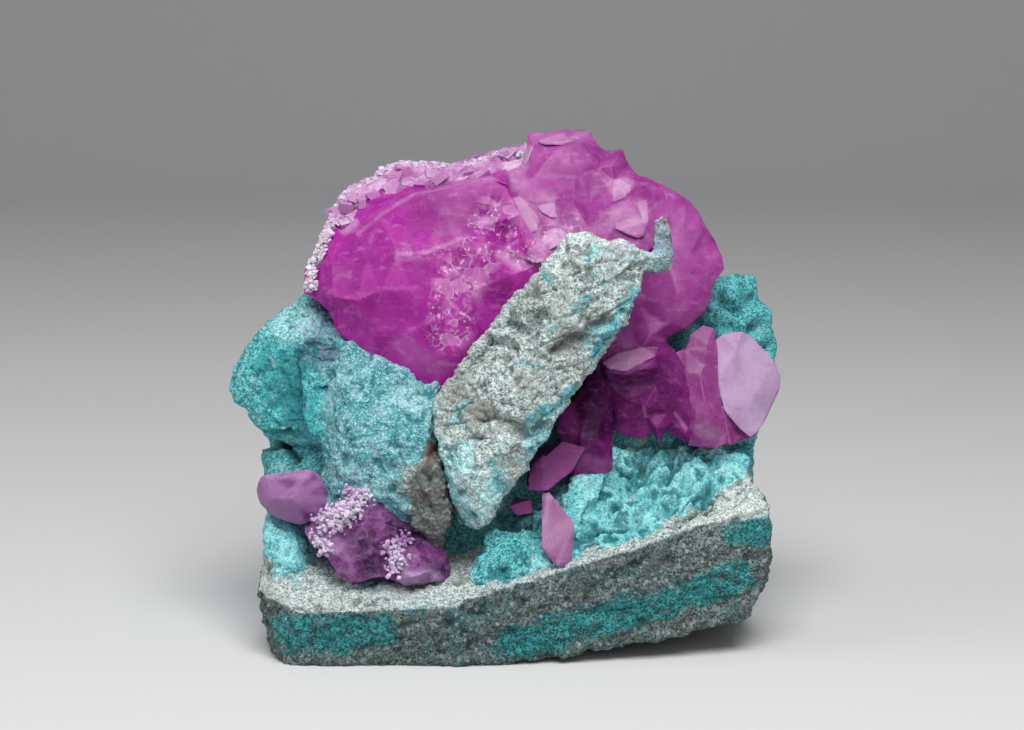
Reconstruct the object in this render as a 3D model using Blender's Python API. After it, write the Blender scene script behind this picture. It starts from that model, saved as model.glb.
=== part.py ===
"""A hand specimen of rock coated with chrysocolla, with magenta calcite crystals growing from it.

The rock is one natural piece: a slab at the foot, a core behind, a lobe at the left, a knob at the
right and a rib that leans across the front. Crystals that have grown into each other are one solid,
and each stands in a socket in the rock with a small gap round it.

Axes: +X to the right, +Y to the back, +Z up. The foot rests on z = 0. Corner points are in
millimetres and are made metres when a mesh is built.
"""

import math
import random

import bmesh
import bpy
from mathutils import Matrix, Vector, noise

MM = 0.001

# Driving dimensions, in millimetres
WIDTH = 75.0
CONTACT_GAP = 0.45
ROCK_VOXEL = 0.95
ROCK_FACES = 5200
COARSE_RELIEF = 1.1
COARSE_RELIEF_SIZE = 7.0
FINE_RELIEF = 0.45
FINE_RELIEF_SIZE = 2.4
RELIEF_OCTAVES = 3
FOOT_TRIM = 0.35
SHIFT_TO_ORIGIN = Vector((-0.5, -0.92, -FOOT_TRIM))

# The rock's lumps. Each is the convex hull of its corners.
ROCK_LUMPS = {
    "core": [
        (-30, -12, 0), (-31, 10, 0), (-24, 22, 0), (5, 24.5, 0), (24, 21, 0), (31, 10, 0.5),
        (10, -4, 0), (-6, -12, 0), (-33, -4, 22), (-34, 9, 24), (-27, 22, 22), (6, 25, 20),
        (28, 21, 22), (35, 8, 22), (33, -3, 22), (-29, 5, 42), (-27, 14, 43), (-17, 20, 45),
        (4, 21, 42), (23, 19, 44), (31, 14, 42), (28, 6, 38), (-18, -3, 38), (0, -5, 32),
        (14, -4, 28),
    ],
    "left slab": [
        (-28.6, -22, -0.5), (-4, -22.6, -0.5), (-26.4, -23, 7.8), (-15, -23.8, 8.1),
        (-6, -23.6, 8.9), (-32.9, -16, 9), (-32, -16.5, 5), (-30.2, -18, 0), (-33, -6, 9),
        (-31, -6, -0.5), (-30, -12, 11.5), (-18, -14, 10.6), (-6, -14, 11.5), (-31, 2, 13),
        (-4, 2, 13), (-4, 4, -0.5), (-30, 4, -0.5),
    ],
    "right slab": [
        (-6, -22.5, -0.5), (7, -21.6, 1.4), (17.5, -20.2, 2.5), (31.4, -17, 5.0),
        (35.2, -14, 11.5), (35.4, -14, 17.8), (34, -12, 20.3), (-8.4, -23.4, 8.7),
        (4.5, -22.2, 12.5), (17.4, -20, 15.7), (25.3, -17, 18.4), (-6, 5, -0.5), (28, 6, 0.8),
        (34, 0, 4), (-6, 0, 14), (33, 0, 22),
    ],
    "left mound": [
        (-32.2, -14, 10), (-31.6, -13, 15.2), (-29, -15, 14.6), (-27, -15.5, 11.2),
        (-31.5, -6, 18), (-26, -6, 16), (-32, -3, 10), (-26, -4, 10),
    ],
    "floor": [
        (-4.6, -21, 9), (4.5, -21.2, 12.4), (17.4, -19, 15.6), (25.3, -16.4, 18.3),
        (33.5, -12, 20), (32.8, -4, 25), (24.7, -4, 25.6), (13.9, -6, 25.8), (9.2, -10, 22),
        (-0.7, -15, 15.4), (-4.6, -18, 12), (-4, -10, 4), (30, -6, 6), (31, 4, 22),
        (10, 4, 22), (-4, 0, 10),
    ],
    "floor panel": [
        (10.6, -8.5, 26.6), (16.0, -7.5, 27), (12.6, -13, 21.8), (9.4, -17, 17.6),
        (6.6, -18.6, 15.2), (7.2, -15, 20.2), (8.8, -11.6, 23.6), (8, -8, 18), (14, -6, 20),
    ],
    "floor buds": [
        (-3.6, -17.5, 14.6), (-1.4, -20.4, 14.2), (1.8, -20.8, 13.8), (3.2, -19, 15.6),
        (0.6, -17.4, 17.4), (-2.2, -16, 17.2), (-4, -20.6, 11), (3, -21.4, 11), (0, -12, 12),
    ],
    "main lobe": [
        (-23.3, -6, 41.1), (-8.6, -11, 35.3), (-20.9, -15, 30.1), (-10.4, -17, 29.1),
        (-13.8, -16.5, 20.9), (-23.1, -13, 20.3), (-24.6, -10, 16.6), (-8.6, -13, 14.2),
        (-24, 4, 42), (-6, 4, 38), (-24, 4, 17), (-6, 4, 14),
    ],
    "outer lobe": [
        (-37.4, -1, 35.5), (-36.7, -3, 32.4), (-27.8, 2, 45.2), (-32.5, 1, 41.3),
        (-31.8, -5, 26.7), (-27.2, -6, 40.4), (-26.4, -9.6, 29.3), (-34, 8, 38),
        (-26, 12, 45), (-33, 10, 26), (-24, 6, 24), (-22, -2, 41), (-22, -7, 26),
    ],
    "brown boss": [
        (-12.4, -16.6, 24.9), (-8.5, -18.4, 27.4), (-6.9, -18.4, 18.7), (-8.6, -15.6, 13.9),
        (-11.8, -16.6, 16.9), (-13.1, -15.6, 20.7), (-12, -8, 24), (-6, -8, 24), (-8, -8, 15),
    ],
    "upper rib": [
        (8.6, -13, 55.2), (17.4, -13, 54.3), (18, -14, 51.2), (16.3, -16, 46),
        (13.2, -17, 40.7), (8.9, -19, 35), (6, -20, 31.7), (-9, -17, 28.5),
        (-8.8, -15, 34.7), (-4.6, -14.5, 40.8), (1.9, -14, 48.6), (7.1, -13, 54.1),
        (12.1, -16.5, 50.6), (7, -19, 43.9), (1.9, -20.5, 37), (-3.2, -21, 31.3),
        (9, -5, 50), (15, -5, 50), (13, -7, 40), (6, -8, 32), (-7, -6, 30), (0, -5, 44),
    ],
    "lower rib": [
        (-9.1, -18, 29.3), (5.1, -19, 29.9), (6.5, -19, 31.5), (1.9, -20, 25.1),
        (-0.1, -20, 21.6), (-3.3, -19, 17.2), (-5.1, -18, 17.7), (-7.2, -18, 21.4),
        (-0.7, -22, 28.8), (-4.5, -22, 24.9), (-2, -21, 20.8), (3, -9, 28), (-7, -8, 28),
        (-4, -9, 19), (-6, -12, 17),
    ],
    "right knob": [
        (28.3, 8, 45), (31.4, 8, 47.5), (34.5, 9, 47.4), (35.6, 8, 43.7), (37.4, 7, 38.9),
        (37.8, 7, 36.6), (36.8, 6, 34), (34.5, 0, 25.7), (33.1, -4, 23.1), (28, 18, 44),
        (34, 17, 44), (36, 15, 36), (34, 12, 24), (26, 10, 40), (24, 4, 24),
    ],
    "back shoulder": [
        (-22, 12, 40), (-19, 20, 45), (-8, 22.5, 48), (6, 22.5, 49.5), (17, 21, 49),
        (26, 17, 46), (29, 13, 42), (-18, 8, 40), (24, 8, 40), (0, 24, 36), (18, 22, 36),
    ],
    "back ridge": [
        (-20, 20, 6), (-14, 23.5, 12), (4, 26, 24), (16, 25, 33), (20, 22, 38), (8, 18, 38),
        (-10, 18, 24), (-22, 16, 12), (8, 20, 14), (18, 18, 24),
    ],
}

# Thin rock that stands free of the rib, too slender for the rock's own relief
SPUR_LUMPS = {
    "spur arm": [
        (14.5, -13.8, 53.4), (14.5, -13.8, 51.2), (21.4, -11.8, 50.2), (21.8, -11.8, 52.2),
        (14.5, -11.0, 53.6), (14.5, -11.0, 51.0), (21.4, -9.6, 50.2), (21.8, -9.6, 52.2),
    ],
    "spur tip": [
        (19.6, -11.8, 50.8), (21.8, -11.8, 50.4), (19.9, -11.0, 54.2), (21.6, -11.0, 54.4),
        (19.2, -10.6, 56.8), (20.8, -10.6, 57.9), (20.0, -9.2, 51.0), (21.7, -9.2, 51.2),
        (19.6, -9.0, 57.0), (21.2, -9.0, 56.6),
    ],
    "corner nub": [
        (31.6, -15.5, 4.6), (32.6, -15.8, 6.6), (32.9, -14.6, 9.2), (31.4, -13.2, 9.6),
        (30.2, -14.4, 5.0), (31.0, -12.2, 5.4),
    ],
}

# Hollows bitten out of the rock
ROCK_BITES = {
    "side crack": [
        (-37, -9, 24.8), (-37, -9, 26.6), (-30.2, -10, 25.9), (-30.2, -10, 25.1),
        (-37, 4, 24.8), (-37, 4, 26.4), (-30.2, 2, 25.7), (-30.2, 2, 25.1),
    ],
    "undercut": [
        (-22, -24, 13.2), (-9, -24, 12.0), (-9, -24, 14.4), (-20, -24, 16.4),
        (-22, -9, 13.4), (-9, -9, 12.4), (-9, -9, 14.6), (-20, -9, 16.2),
    ],
    "back scoop": [
        (14, 30, 2), (28, 28, 4), (30, 27, 16), (18, 30, 18), (16, 21.5, 5), (25, 20, 6),
        (26, 19.5, 14), (18, 21, 15),
    ],
}

# Crystals that have grown into each other make one solid, and so share a list.
CROWN_CRYSTALS = {
    "great lens": [
        (-27, 1, 46.1), (-26.2, 3, 50.2), (-23.9, 6, 53.9), (-22, 9, 55.3), (-18.1, 13, 58.3),
        (-9.1, 14, 58.9), (-1.5, 13, 59.6), (-20.3, 4, 53.6), (-15.4, 8, 56.2),
        (-16.2, -0.5, 50.6), (-8.8, -1.5, 51.8), (-0.8, 0, 54.4), (-24.9, -2, 42.2),
        (-20.7, -5, 40.5), (-13.9, -8, 38.1), (-8, -10, 36), (-16.6, -6, 44.5),
        (-7.3, -9, 42.3), (-3.4, -7.6, 47.3), (2.4, -7, 41.8), (3, -4, 34), (-22, 12, 44),
        (-16, 16, 46), (2, 16, 46), (-2, 17, 55), (-16, 17, 54),
    ],
    "crest": [
        (2.9, 8, 65.2), (5.3, 8, 66.7), (11.4, 8, 67.4), (13.2, 7, 64.4), (16.2, 8, 62.9),
        (18.3, 8, 60.2), (6, 3, 64.8), (12.6, 2, 64.1), (14.5, -4, 54.1), (9.2, -6, 53.7),
        (2.6, -2, 58.5), (1.9, 4, 62.7), (4, 15, 64), (12, 16, 64), (18, 16, 58),
        (2, -8, 44), (12, -8, 42), (4, 17, 50), (16, 17, 50),
    ],
    "bridge": [
        (-8, 14, 59.6), (-2, 11, 61.4), (3, 8, 63.4), (3, 1, 57.8), (-4, 2, 55.8),
        (-6, 17, 58), (4, 17, 60), (0, 12, 50), (-4, -4, 50.6), (7.2, -5.4, 50.9),
        (8.4, 2, 57.6), (0, -7, 42), (8, -6, 42),
    ],
    "rim bed": [
        (-24.2, 5, 48.6), (-23.6, 9.6, 51.4), (-21, 12.6, 54.9), (-18.4, 15, 57.2),
        (-14.8, 16.6, 59), (-9, 16.6, 59.6), (-4.8, 15.8, 60.4), (-1.6, 14.6, 61.5),
        (2.8, 13.2, 62.6), (-20, 4, 49), (-10, 6, 54), (2, 6, 58), (-20, 17, 46),
        (0, 19, 46), (-9, 20, 52),
    ],
    "disc": [
        (19.6, 6, 60.1), (24.9, 4, 57.9), (28.2, 2, 53.4), (29.7, 0, 48.9), (29, -1, 46.4),
        (26.8, -2, 43), (24, -3.4, 40), (18.6, -5, 37.4), (14.1, -6, 36), (23.1, -4, 51),
        (20.4, -6.5, 45.9),
        (17.4, -4.5, 52.3), (14, 4, 58), (19, 12, 58), (26, 12, 50), (25, 11, 43),
        (16, 10, 40),
    ],
}

LOWER_CRYSTALS = {
    "shaded block": [
        (12.5, -8.4, 36), (15.1, -9.2, 35.6), (20.4, -8, 37), (23.6, -6.6, 37.4), (24.2, -7, 32.5),
        (24.5, -8, 27.3), (20.4, -9, 26.9), (17.9, -8.4, 25.6), (14.1, -9, 28.9),
        (13.8, -9.6, 32.9), (14, 2, 35), (22, 2, 35), (22, 2, 26), (14, 2, 26),
    ],
    "shaded wedge": [
        (7.2, -9, 31.8), (12.5, -9.6, 36), (14.1, -10, 34.4), (14.6, -11, 29.1),
        (14, -12.4, 23.8), (9.1, -13.4, 24.3), (7, -12, 27), (8, 0, 33), (14, 0, 34),
        (13, 0, 25), (8, -4, 25),
    ],
    "low tablet": [
        (2.6, -14, 24.5), (6.5, -13.4, 28.1), (10.4, -13.8, 27), (9.1, -14.6, 24.2),
        (5.6, -15.6, 21.8), (2.5, -15.4, 21.6), (4, -7, 26), (9, -7, 26), (8, -8, 22),
        (3, -8, 21.4),
    ],
    "upright crystal": [
        (24.3, -4.4, 39.2), (26.3, -4.4, 41.4), (28.4, -3.4, 41.7), (29.7, -8.4, 26.9),
        (25.8, -8.6, 26.2), (23.8, -7.6, 27.1), (28.8, 2, 40), (25, 2, 40), (29.6, 1, 26),
        (24, 1, 26),
    ],
}

PALE_CRYSTAL = {
    "pale disc": [
        (29.4, -3.2, 40.6), (32.2, -0.6, 41.5), (35.5, 0.6, 38.2), (37.2, 1, 34.3),
        (36.6, 0, 30.5), (34.3, -2.4, 26.5), (31.4, -7, 26.4), (30.6, -7.2, 30.4),
        (30.6, 4, 40), (34, 5, 38), (35.6, 5, 33), (34, 4, 28), (31.4, 2, 26.6),
    ],
}

LEFT_CRYSTALS = {
    "knob crystal": [
        (-33.8, -8, 20.5), (-32.9, -7, 22.4), (-26, -8, 23.5), (-23.8, -10, 22.3),
        (-22.2, -11.6, 19.8), (-23.4, -13, 18), (-27.1, -13.6, 16.8), (-30, -12.6, 17.4),
        (-33, -10, 18.8), (-28.2, -15.4, 21.2), (-30.8, -14, 20.6), (-30, -3, 21),
        (-25, -3, 21), (-27, -4, 18),
    ],
    "druse back": [
        (-26.6, -12, 15.6), (-23.7, -13, 20.3), (-17.1, -13.4, 21.4), (-13.8, -15, 19.1),
        (-17.6, -18.6, 16.6), (-22.4, -16, 17), (-18.2, -19.4, 12.2), (-24, -16.4, 13.8),
        (-22, -8, 14), (-15, -8, 14),
    ],
    "druse front": [
        (-22.4, -17, 16), (-16, -18, 18), (-13, -17, 17.4), (-12.4, -19.8, 11),
        (-18.2, -20.2, 11), (-20.8, -20, 11), (-23.2, -18.2, 13), (-17.4, -20.4, 14.4),
        (-18, -12, 12),
    ],
    "druse right": [
        (-13.8, -15.4, 18.4), (-9.9, -16, 16.5), (-6.8, -16.8, 12.9), (-7.4, -18.4, 10.9),
        (-12.4, -20.2, 10.2), (-14.6, -19.4, 11), (-13, -18.6, 15), (-9.6, -19, 13.6),
        (-12, -11, 12),
    ],
}

BLADE_CRYSTAL = {
    "blade": [
        (4.6, -16.8, 22), (5.8, -16.8, 22.3), (9, -18.8, 18.6), (8.7, -21.2, 12.7),
        (6.5, -21.4, 13.3), (4.5, -20.2, 15.7), (5.4, -14.6, 21.6), (8.6, -16.4, 18),
        (8.2, -18.6, 13), (5.2, -17.6, 15),
    ],
}

SLIVER_CRYSTAL = {
    "sliver": [
        (0.1, -15.2, 20), (3.4, -13.6, 20.6), (3.7, -14.4, 18.8), (1.4, -15.4, 18.6),
        (1.2, -10, 20), (3, -10, 19),
    ],
}

# Small crystals along the crown's rim: a line over it, and the size and spacing of each crystal
RIM_LINE = [
    (-24.8, 4.5, 48.8), (-23.9, 9.4, 51.7), (-21.2, 12.6, 55.3), (-18.6, 15, 57.6),
    (-15, 16.6, 59.4), (-9.2, 16.6, 60), (-5, 15.6, 60.8), (-1.8, 14.4, 61.9),
    (2.6, 13, 63),
]
RIM_CRYSTAL_SIZE = 1.5
RIM_CRYSTAL_SPACING = 2.3
RIM_SPIKES = {
    "first spike": [(15.0, 9.4, 61.6), (17.4, 9.4, 61.6), (16.0, 13.4, 61.6), (16.0, 11.4, 64.0)],
    "second spike": [(18.8, 7.4, 58.6), (21.8, 6.6, 58.2), (20.4, 11, 58), (20.6, 9, 60.4)],
}

# A calcite rhomb's corners, each a sum of three edges that lean this far from its axis
RHOMB_EDGE_LEAN = math.radians(64)
RHOMB_SEED = 7


def clear_scene():
    """Remove whatever the file opened with."""
    for obj in list(bpy.data.objects):
        bpy.data.objects.remove(obj)


def plain_material(name, colour, roughness):
    """A Principled surface of one colour."""
    material = bpy.data.materials.new(name)
    material.use_nodes = True
    shader = material.node_tree.nodes["Principled BSDF"]
    shader.inputs["Base Color"].default_value = (*colour, 1.0)
    shader.inputs["Roughness"].default_value = roughness
    shader.inputs["Metallic"].default_value = 0.0
    return material


def hull(corners, gap=0.0):
    """The convex hull of the corners as a bmesh in metres, grown outwards by gap millimetres."""
    shape = bmesh.new()
    for corner in corners:
        shape.verts.new(Vector(corner) * MM)
    made = bmesh.ops.convex_hull(shape, input=shape.verts)
    inside = set(made["geom_interior"]) | set(made["geom_unused"])
    loose = [item for item in inside if isinstance(item, bmesh.types.BMVert)]
    bmesh.ops.delete(shape, geom=loose, context="VERTS")
    bmesh.ops.recalc_face_normals(shape, faces=shape.faces)
    shape.normal_update()
    if gap:
        moves = [v.normal * gap * MM * min(v.calc_shell_factor(), 2.0) for v in shape.verts]
        for vert, move in zip(shape.verts, moves):
            vert.co += move
    return shape


def object_from(name, shape):
    """A scene object that holds the bmesh."""
    mesh = bpy.data.meshes.new(name)
    shape.to_mesh(mesh)
    shape.free()
    obj = bpy.data.objects.new(name, mesh)
    bpy.context.scene.collection.objects.link(obj)
    return obj


def hulls_in_collection(name, corner_lists, gap=0.0):
    """One hidden object for each list of corners, together in a collection that a Boolean can use."""
    group = bpy.data.collections.new(name)
    bpy.context.scene.collection.children.link(group)
    for index, corners in enumerate(corner_lists):
        helper = object_from(f"{name} {index}", hull(corners, gap))
        bpy.context.scene.collection.objects.unlink(helper)
        group.objects.link(helper)
        helper.hide_render = True
        helper.display_type = "WIRE"
    return group


def add_boolean(obj, operation, group):
    """Join the group's shapes to obj, or cut them from it, with the exact solver."""
    modifier = obj.modifiers.new(f"{operation.lower()} {group.name}", "BOOLEAN")
    modifier.operation = operation
    modifier.operand_type = "COLLECTION"
    modifier.collection = group
    modifier.solver = "EXACT"


def settle(obj):
    """Replace obj's mesh by the one that its modifiers make."""
    bpy.context.view_layer.update()
    graph = bpy.context.evaluated_depsgraph_get()
    made = bpy.data.meshes.new_from_object(obj.evaluated_get(graph))
    obj.modifiers.clear()
    obj.data = made


def keep_largest_body(obj):
    """Drop the crumbs that a socket leaves cut off from the rest."""
    shape = bmesh.new()
    shape.from_mesh(obj.data)
    unseen = set(shape.verts)
    bodies = []
    while unseen:
        edge_of_search = [unseen.pop()]
        body = set(edge_of_search)
        while edge_of_search:
            vert = edge_of_search.pop()
            near = {edge.other_vert(vert) for edge in vert.link_edges} & unseen
            unseen -= near
            body |= near
            edge_of_search.extend(near)
        bodies.append(body)
    largest = max(bodies, key=len)
    crumbs = [vert for body in bodies if body is not largest for vert in body]
    bmesh.ops.delete(shape, geom=crumbs, context="VERTS")
    bmesh.ops.triangulate(shape, faces=shape.faces)
    shape.to_mesh(obj.data)
    shape.free()


def add_relief(obj):
    """Move each point along its normal by coarse and fine noise that depends on its place alone."""
    mesh = obj.data
    moved = []
    for vert in mesh.vertices:
        place = vert.co / MM
        coarse = noise.fractal(place / COARSE_RELIEF_SIZE, 1.0, 2.0, RELIEF_OCTAVES)
        fine = noise.noise(place / FINE_RELIEF_SIZE)
        moved.append(vert.co + vert.normal * (coarse * COARSE_RELIEF + fine * FINE_RELIEF) * MM)
    for vert, place in zip(mesh.vertices, moved):
        vert.co = place


def join_shapes(obj, corner_lists):
    """Put every hull into obj's one mesh, as shells that overlap."""
    whole = bmesh.new()
    for corners in corner_lists:
        lump = hull(corners)
        scratch = bpy.data.meshes.new("lump")
        lump.to_mesh(scratch)
        lump.free()
        whole.from_mesh(scratch)
        bpy.data.meshes.remove(scratch)
    whole.to_mesh(obj.data)
    whole.free()


def half_space_below(height):
    """The corners of a block whose top is at this height, wide enough to cover the foot."""
    reach = WIDTH
    return [(x, y, z) for x in (-reach, reach) for y in (-reach, reach) for z in (-reach, height)]


def make_rock(material, socket_lists):
    """The rock: its lumps made one skin, given relief, trimmed flat at the foot and cut for sockets."""
    rock = object_from("matrix_rock", bmesh.new())
    join_shapes(rock, ROCK_LUMPS.values())
    remesh = rock.modifiers.new("one skin", "REMESH")
    remesh.mode = "VOXEL"
    remesh.voxel_size = ROCK_VOXEL * MM
    smooth = rock.modifiers.new("worn edges", "SMOOTH")
    smooth.iterations = 2
    settle(rock)
    add_relief(rock)
    fewer = rock.modifiers.new("fewer faces", "DECIMATE")
    fewer.ratio = ROCK_FACES / (2 * len(rock.data.polygons))
    settle(rock)
    add_boolean(rock, "UNION", hulls_in_collection("spur", SPUR_LUMPS.values()))
    settle(rock)
    add_boolean(rock, "DIFFERENCE", hulls_in_collection("bites", ROCK_BITES.values()))
    settle(rock)
    add_boolean(rock, "DIFFERENCE", hulls_in_collection("foot", [half_space_below(FOOT_TRIM)]))
    settle(rock)
    add_boolean(rock, "DIFFERENCE", hulls_in_collection("sockets", socket_lists, CONTACT_GAP))
    settle(rock)
    keep_largest_body(rock)
    rock.data.materials.clear()
    rock.data.materials.append(material)
    return rock


def rhomb(centre, size, axis, turn):
    """The corners of a small calcite rhomb: three edges round its axis, summed in every way."""
    lean = Vector((math.sin(RHOMB_EDGE_LEAN), 0, math.cos(RHOMB_EDGE_LEAN))) * size
    upright = Vector(axis).normalized().to_track_quat("Z", "Y").to_matrix()
    edges = [
        upright @ Matrix.Rotation(turn + third * math.tau / 3, 3, "Z") @ lean
        for third in range(3)
    ]
    signs = (-0.5, 0.5)
    return [
        tuple(Vector(centre) + a * edges[0] + b * edges[1] + c * edges[2])
        for a in signs for b in signs for c in signs
    ]


def rim_crystals():
    """Rhombs of varied size set at even steps along the rim line, each leaning its own way."""
    chance = random.Random(RHOMB_SEED)
    made = []
    left_over = 0.0
    for start, end in zip(RIM_LINE, RIM_LINE[1:]):
        start, end = Vector(start), Vector(end)
        length = (end - start).length
        at = left_over
        while at < length:
            size = RIM_CRYSTAL_SIZE * chance.uniform(1.3, 2.0)
            axis = (chance.uniform(-0.6, 0.6), chance.uniform(-0.6, 0.6), 1.0)
            place = start.lerp(end, at / length)
            made.append(rhomb(place, size, axis, chance.uniform(0, math.tau)))
            at += RIM_CRYSTAL_SPACING
        left_over = at - length
    return made


def make_crystal(name, corner_lists, material, neighbours=()):
    """Crystals grown together as one solid, kept clear of the neighbours that they stand against."""
    first, *others = corner_lists
    crystal = object_from(name, hull(first))
    if others:
        add_boolean(crystal, "UNION", hulls_in_collection(f"{name} grown", others))
        settle(crystal)
    if neighbours:
        cutters = hulls_in_collection(f"{name} neighbours", neighbours, CONTACT_GAP)
        add_boolean(crystal, "DIFFERENCE", cutters)
        settle(crystal)
    keep_largest_body(crystal)
    crystal.data.materials.clear()
    crystal.data.materials.append(material)
    return crystal


def move_to_origin(objects):
    """Set the origin under the middle of the specimen's box, in the plane that it rests on."""
    for obj in objects:
        obj.data.transform(Matrix.Translation(SHIFT_TO_ORIGIN * MM))


def main():
    clear_scene()
    rock_stone = plain_material("chrysocolla on rock", (0.22, 0.50, 0.52), 0.85)
    magenta = plain_material("magenta calcite", (0.42, 0.07, 0.36), 0.25)
    dark = plain_material("shaded magenta calcite", (0.24, 0.05, 0.22), 0.2)
    pale = plain_material("pale lilac calcite", (0.55, 0.38, 0.56), 0.35)
    pink = plain_material("pink calcite", (0.52, 0.20, 0.40), 0.25)
    violet = plain_material("violet druse calcite", (0.34, 0.16, 0.36), 0.4)

    crown = [*CROWN_CRYSTALS.values(), *rim_crystals(), *RIM_SPIKES.values()]
    lower = list(LOWER_CRYSTALS.values())
    pale_disc = list(PALE_CRYSTAL.values())
    left = list(LEFT_CRYSTALS.values())
    blade = list(BLADE_CRYSTAL.values())
    sliver = list(SLIVER_CRYSTAL.values())
    made = [
        make_rock(rock_stone, [*crown, *lower, *pale_disc, *left, *blade, *sliver]),
        make_crystal("crown_crystals", crown, magenta),
        make_crystal("lower_crystals", lower, dark, list(CROWN_CRYSTALS.values())),
        make_crystal("pale_crystal", pale_disc, pale, [LOWER_CRYSTALS["upright crystal"]]),
        make_crystal("left_crystals", left, violet),
        make_crystal("blade_crystal", blade, pink),
        make_crystal("sliver_crystal", sliver, dark),
    ]
    move_to_origin(made)


main()
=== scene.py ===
import math

import bmesh
import bpy
import numpy as np
from mathutils import Matrix, Vector
from mathutils.geometry import delaunay_2d_cdt


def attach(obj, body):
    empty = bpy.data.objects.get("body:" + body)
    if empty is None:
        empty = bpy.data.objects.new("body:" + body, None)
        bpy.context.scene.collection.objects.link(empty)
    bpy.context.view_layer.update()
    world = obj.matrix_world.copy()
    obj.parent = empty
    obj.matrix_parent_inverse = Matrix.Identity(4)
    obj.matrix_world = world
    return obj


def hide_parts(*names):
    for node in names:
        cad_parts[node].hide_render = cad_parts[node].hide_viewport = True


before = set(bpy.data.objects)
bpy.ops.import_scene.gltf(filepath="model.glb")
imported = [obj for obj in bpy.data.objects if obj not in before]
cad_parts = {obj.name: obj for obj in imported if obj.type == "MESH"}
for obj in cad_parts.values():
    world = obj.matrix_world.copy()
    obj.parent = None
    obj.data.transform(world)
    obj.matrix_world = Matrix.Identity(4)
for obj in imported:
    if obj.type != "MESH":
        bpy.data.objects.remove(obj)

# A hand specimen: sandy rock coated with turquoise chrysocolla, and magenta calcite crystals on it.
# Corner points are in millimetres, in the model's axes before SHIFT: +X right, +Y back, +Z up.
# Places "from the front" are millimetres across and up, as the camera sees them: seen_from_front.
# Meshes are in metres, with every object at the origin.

MM = 0.001
SHIFT = np.array([-0.5, -0.92, -0.35])
FOOT = 0.35
CAMERA_RISE = math.radians(10)
CAMERA_TARGET = np.array([0.85, 0.0, 36.0])
CAMERA_WAY = 384.0
LENS_MM = 100
SENSOR_MM = 36
TOWARDS_CAMERA = [0, -math.cos(CAMERA_RISE), math.sin(CAMERA_RISE)]
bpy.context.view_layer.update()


# Noise on whole arrays of points

# Large odd numbers scramble a cell's place and a seed, and the stirs turn a cell's random place into
# more random numbers.
PLACE_MIXERS = (374761393, 668265263, 1103515245)
SEED_MIXER = 1013904223
MIXERS = ((13, 1274126177), (16, 974711929))
LAST_SHIFT = 15
LOW_32_BITS = 0xFFFFFFFF
LOW_24_BITS = 0xFFFFFF
LEAN_STIR, LEVEL_STIR, OWN_STIR = 9.17, 5.39, 7.31
CUBE_CORNERS = [np.array([a, b, c]) for a in (0, 1) for b in (0, 1) for c in (0, 1)]
NEIGHBOURS = [np.array([a, b, c]) for a in (-1, 0, 1) for b in (-1, 0, 1) for c in (-1, 0, 1)]


def lattice_value(cell, seed):
    """A fixed number from 0 to 1 for each whole-numbered cell: its three numbers times large odd
    numbers, added, then mixed by shifts and multiplications within 32 bits."""
    mixed = seed * SEED_MIXER
    for axis, mixer in enumerate(PLACE_MIXERS):
        mixed = mixed + cell[:, axis].astype(np.int64) * mixer
    mixed = mixed & LOW_32_BITS
    for shift, mixer in MIXERS:
        mixed = ((mixed ^ (mixed >> shift)) * mixer) & LOW_32_BITS
    mixed = mixed ^ (mixed >> LAST_SHIFT)
    return (mixed & LOW_24_BITS) / LOW_24_BITS


def soft_noise(points, size, seed=0):
    """Noise from -1 to 1: lattice values at a cube's corners, blended by a smooth step on each axis."""
    place = points / size
    base = np.floor(place)
    part = place - base
    part = part * part * part * (part * (part * 6 - 15) + 10)
    total = np.zeros(len(points))
    for corner in CUBE_CORNERS:
        weight = np.prod(np.where(corner, part, 1 - part), axis=1)
        total += weight * lattice_value(base + corner, seed)
    return 2 * total - 1


def layered_noise(points, size, layers, seed=0):
    """Soft noise summed over layers, each half as large and half as wide as the one before."""
    total, height, reach = 0.0, 1.0, 0.0
    for layer in range(layers):
        total = total + height * soft_noise(points, size / 2 ** layer, seed + 17 * layer)
        reach += height
        height *= 0.5
    return total / reach


def bowls(points, size, tilt=0.5, dish=0.3, seed=0):
    """Bowls that meet in ridges: in each cube one centre sits at random and carries a tilted dish,
    own level + own tilt . way + dish x way squared, and at each point the lowest of them counts.
    Gives its height, about -0.4 to 0.4 at this tilt and dish, how far below the next it lies, which
    is 0 on a ridge, and its own random number. Turned over, bowls are buds with creases between."""
    place = points / size
    base = np.floor(place)
    lowest = np.full(len(points), 9.0)
    second = lowest.copy()
    own = np.zeros(len(points))
    for step in NEIGHBOURS:
        cell = base + step
        value = np.stack([lattice_value(cell, seed + n) for n in (1, 2, 3)], axis=1)
        away = place - (cell + value)
        lean = (np.modf(value * LEAN_STIR)[0] - 0.5) * 2 * tilt
        level = np.modf(value[:, 0] * LEVEL_STIR)[0] * 0.5
        here = level + np.sum(lean * away, axis=1) + dish * np.sum(away * away, axis=1)
        lower = here < lowest
        second = np.where(lower, lowest, np.minimum(second, here))
        own = np.where(lower, np.modf(value[:, 1] * OWN_STIR)[0], own)
        lowest = np.where(lower, here, lowest)
    return lowest, second - lowest, own


def ramp(value, low, high):
    """0 below low, 1 above high, and a smooth step between."""
    part = np.clip((value - low) / (high - low), 0, 1)
    return part * part * (3 - 2 * part)


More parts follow.
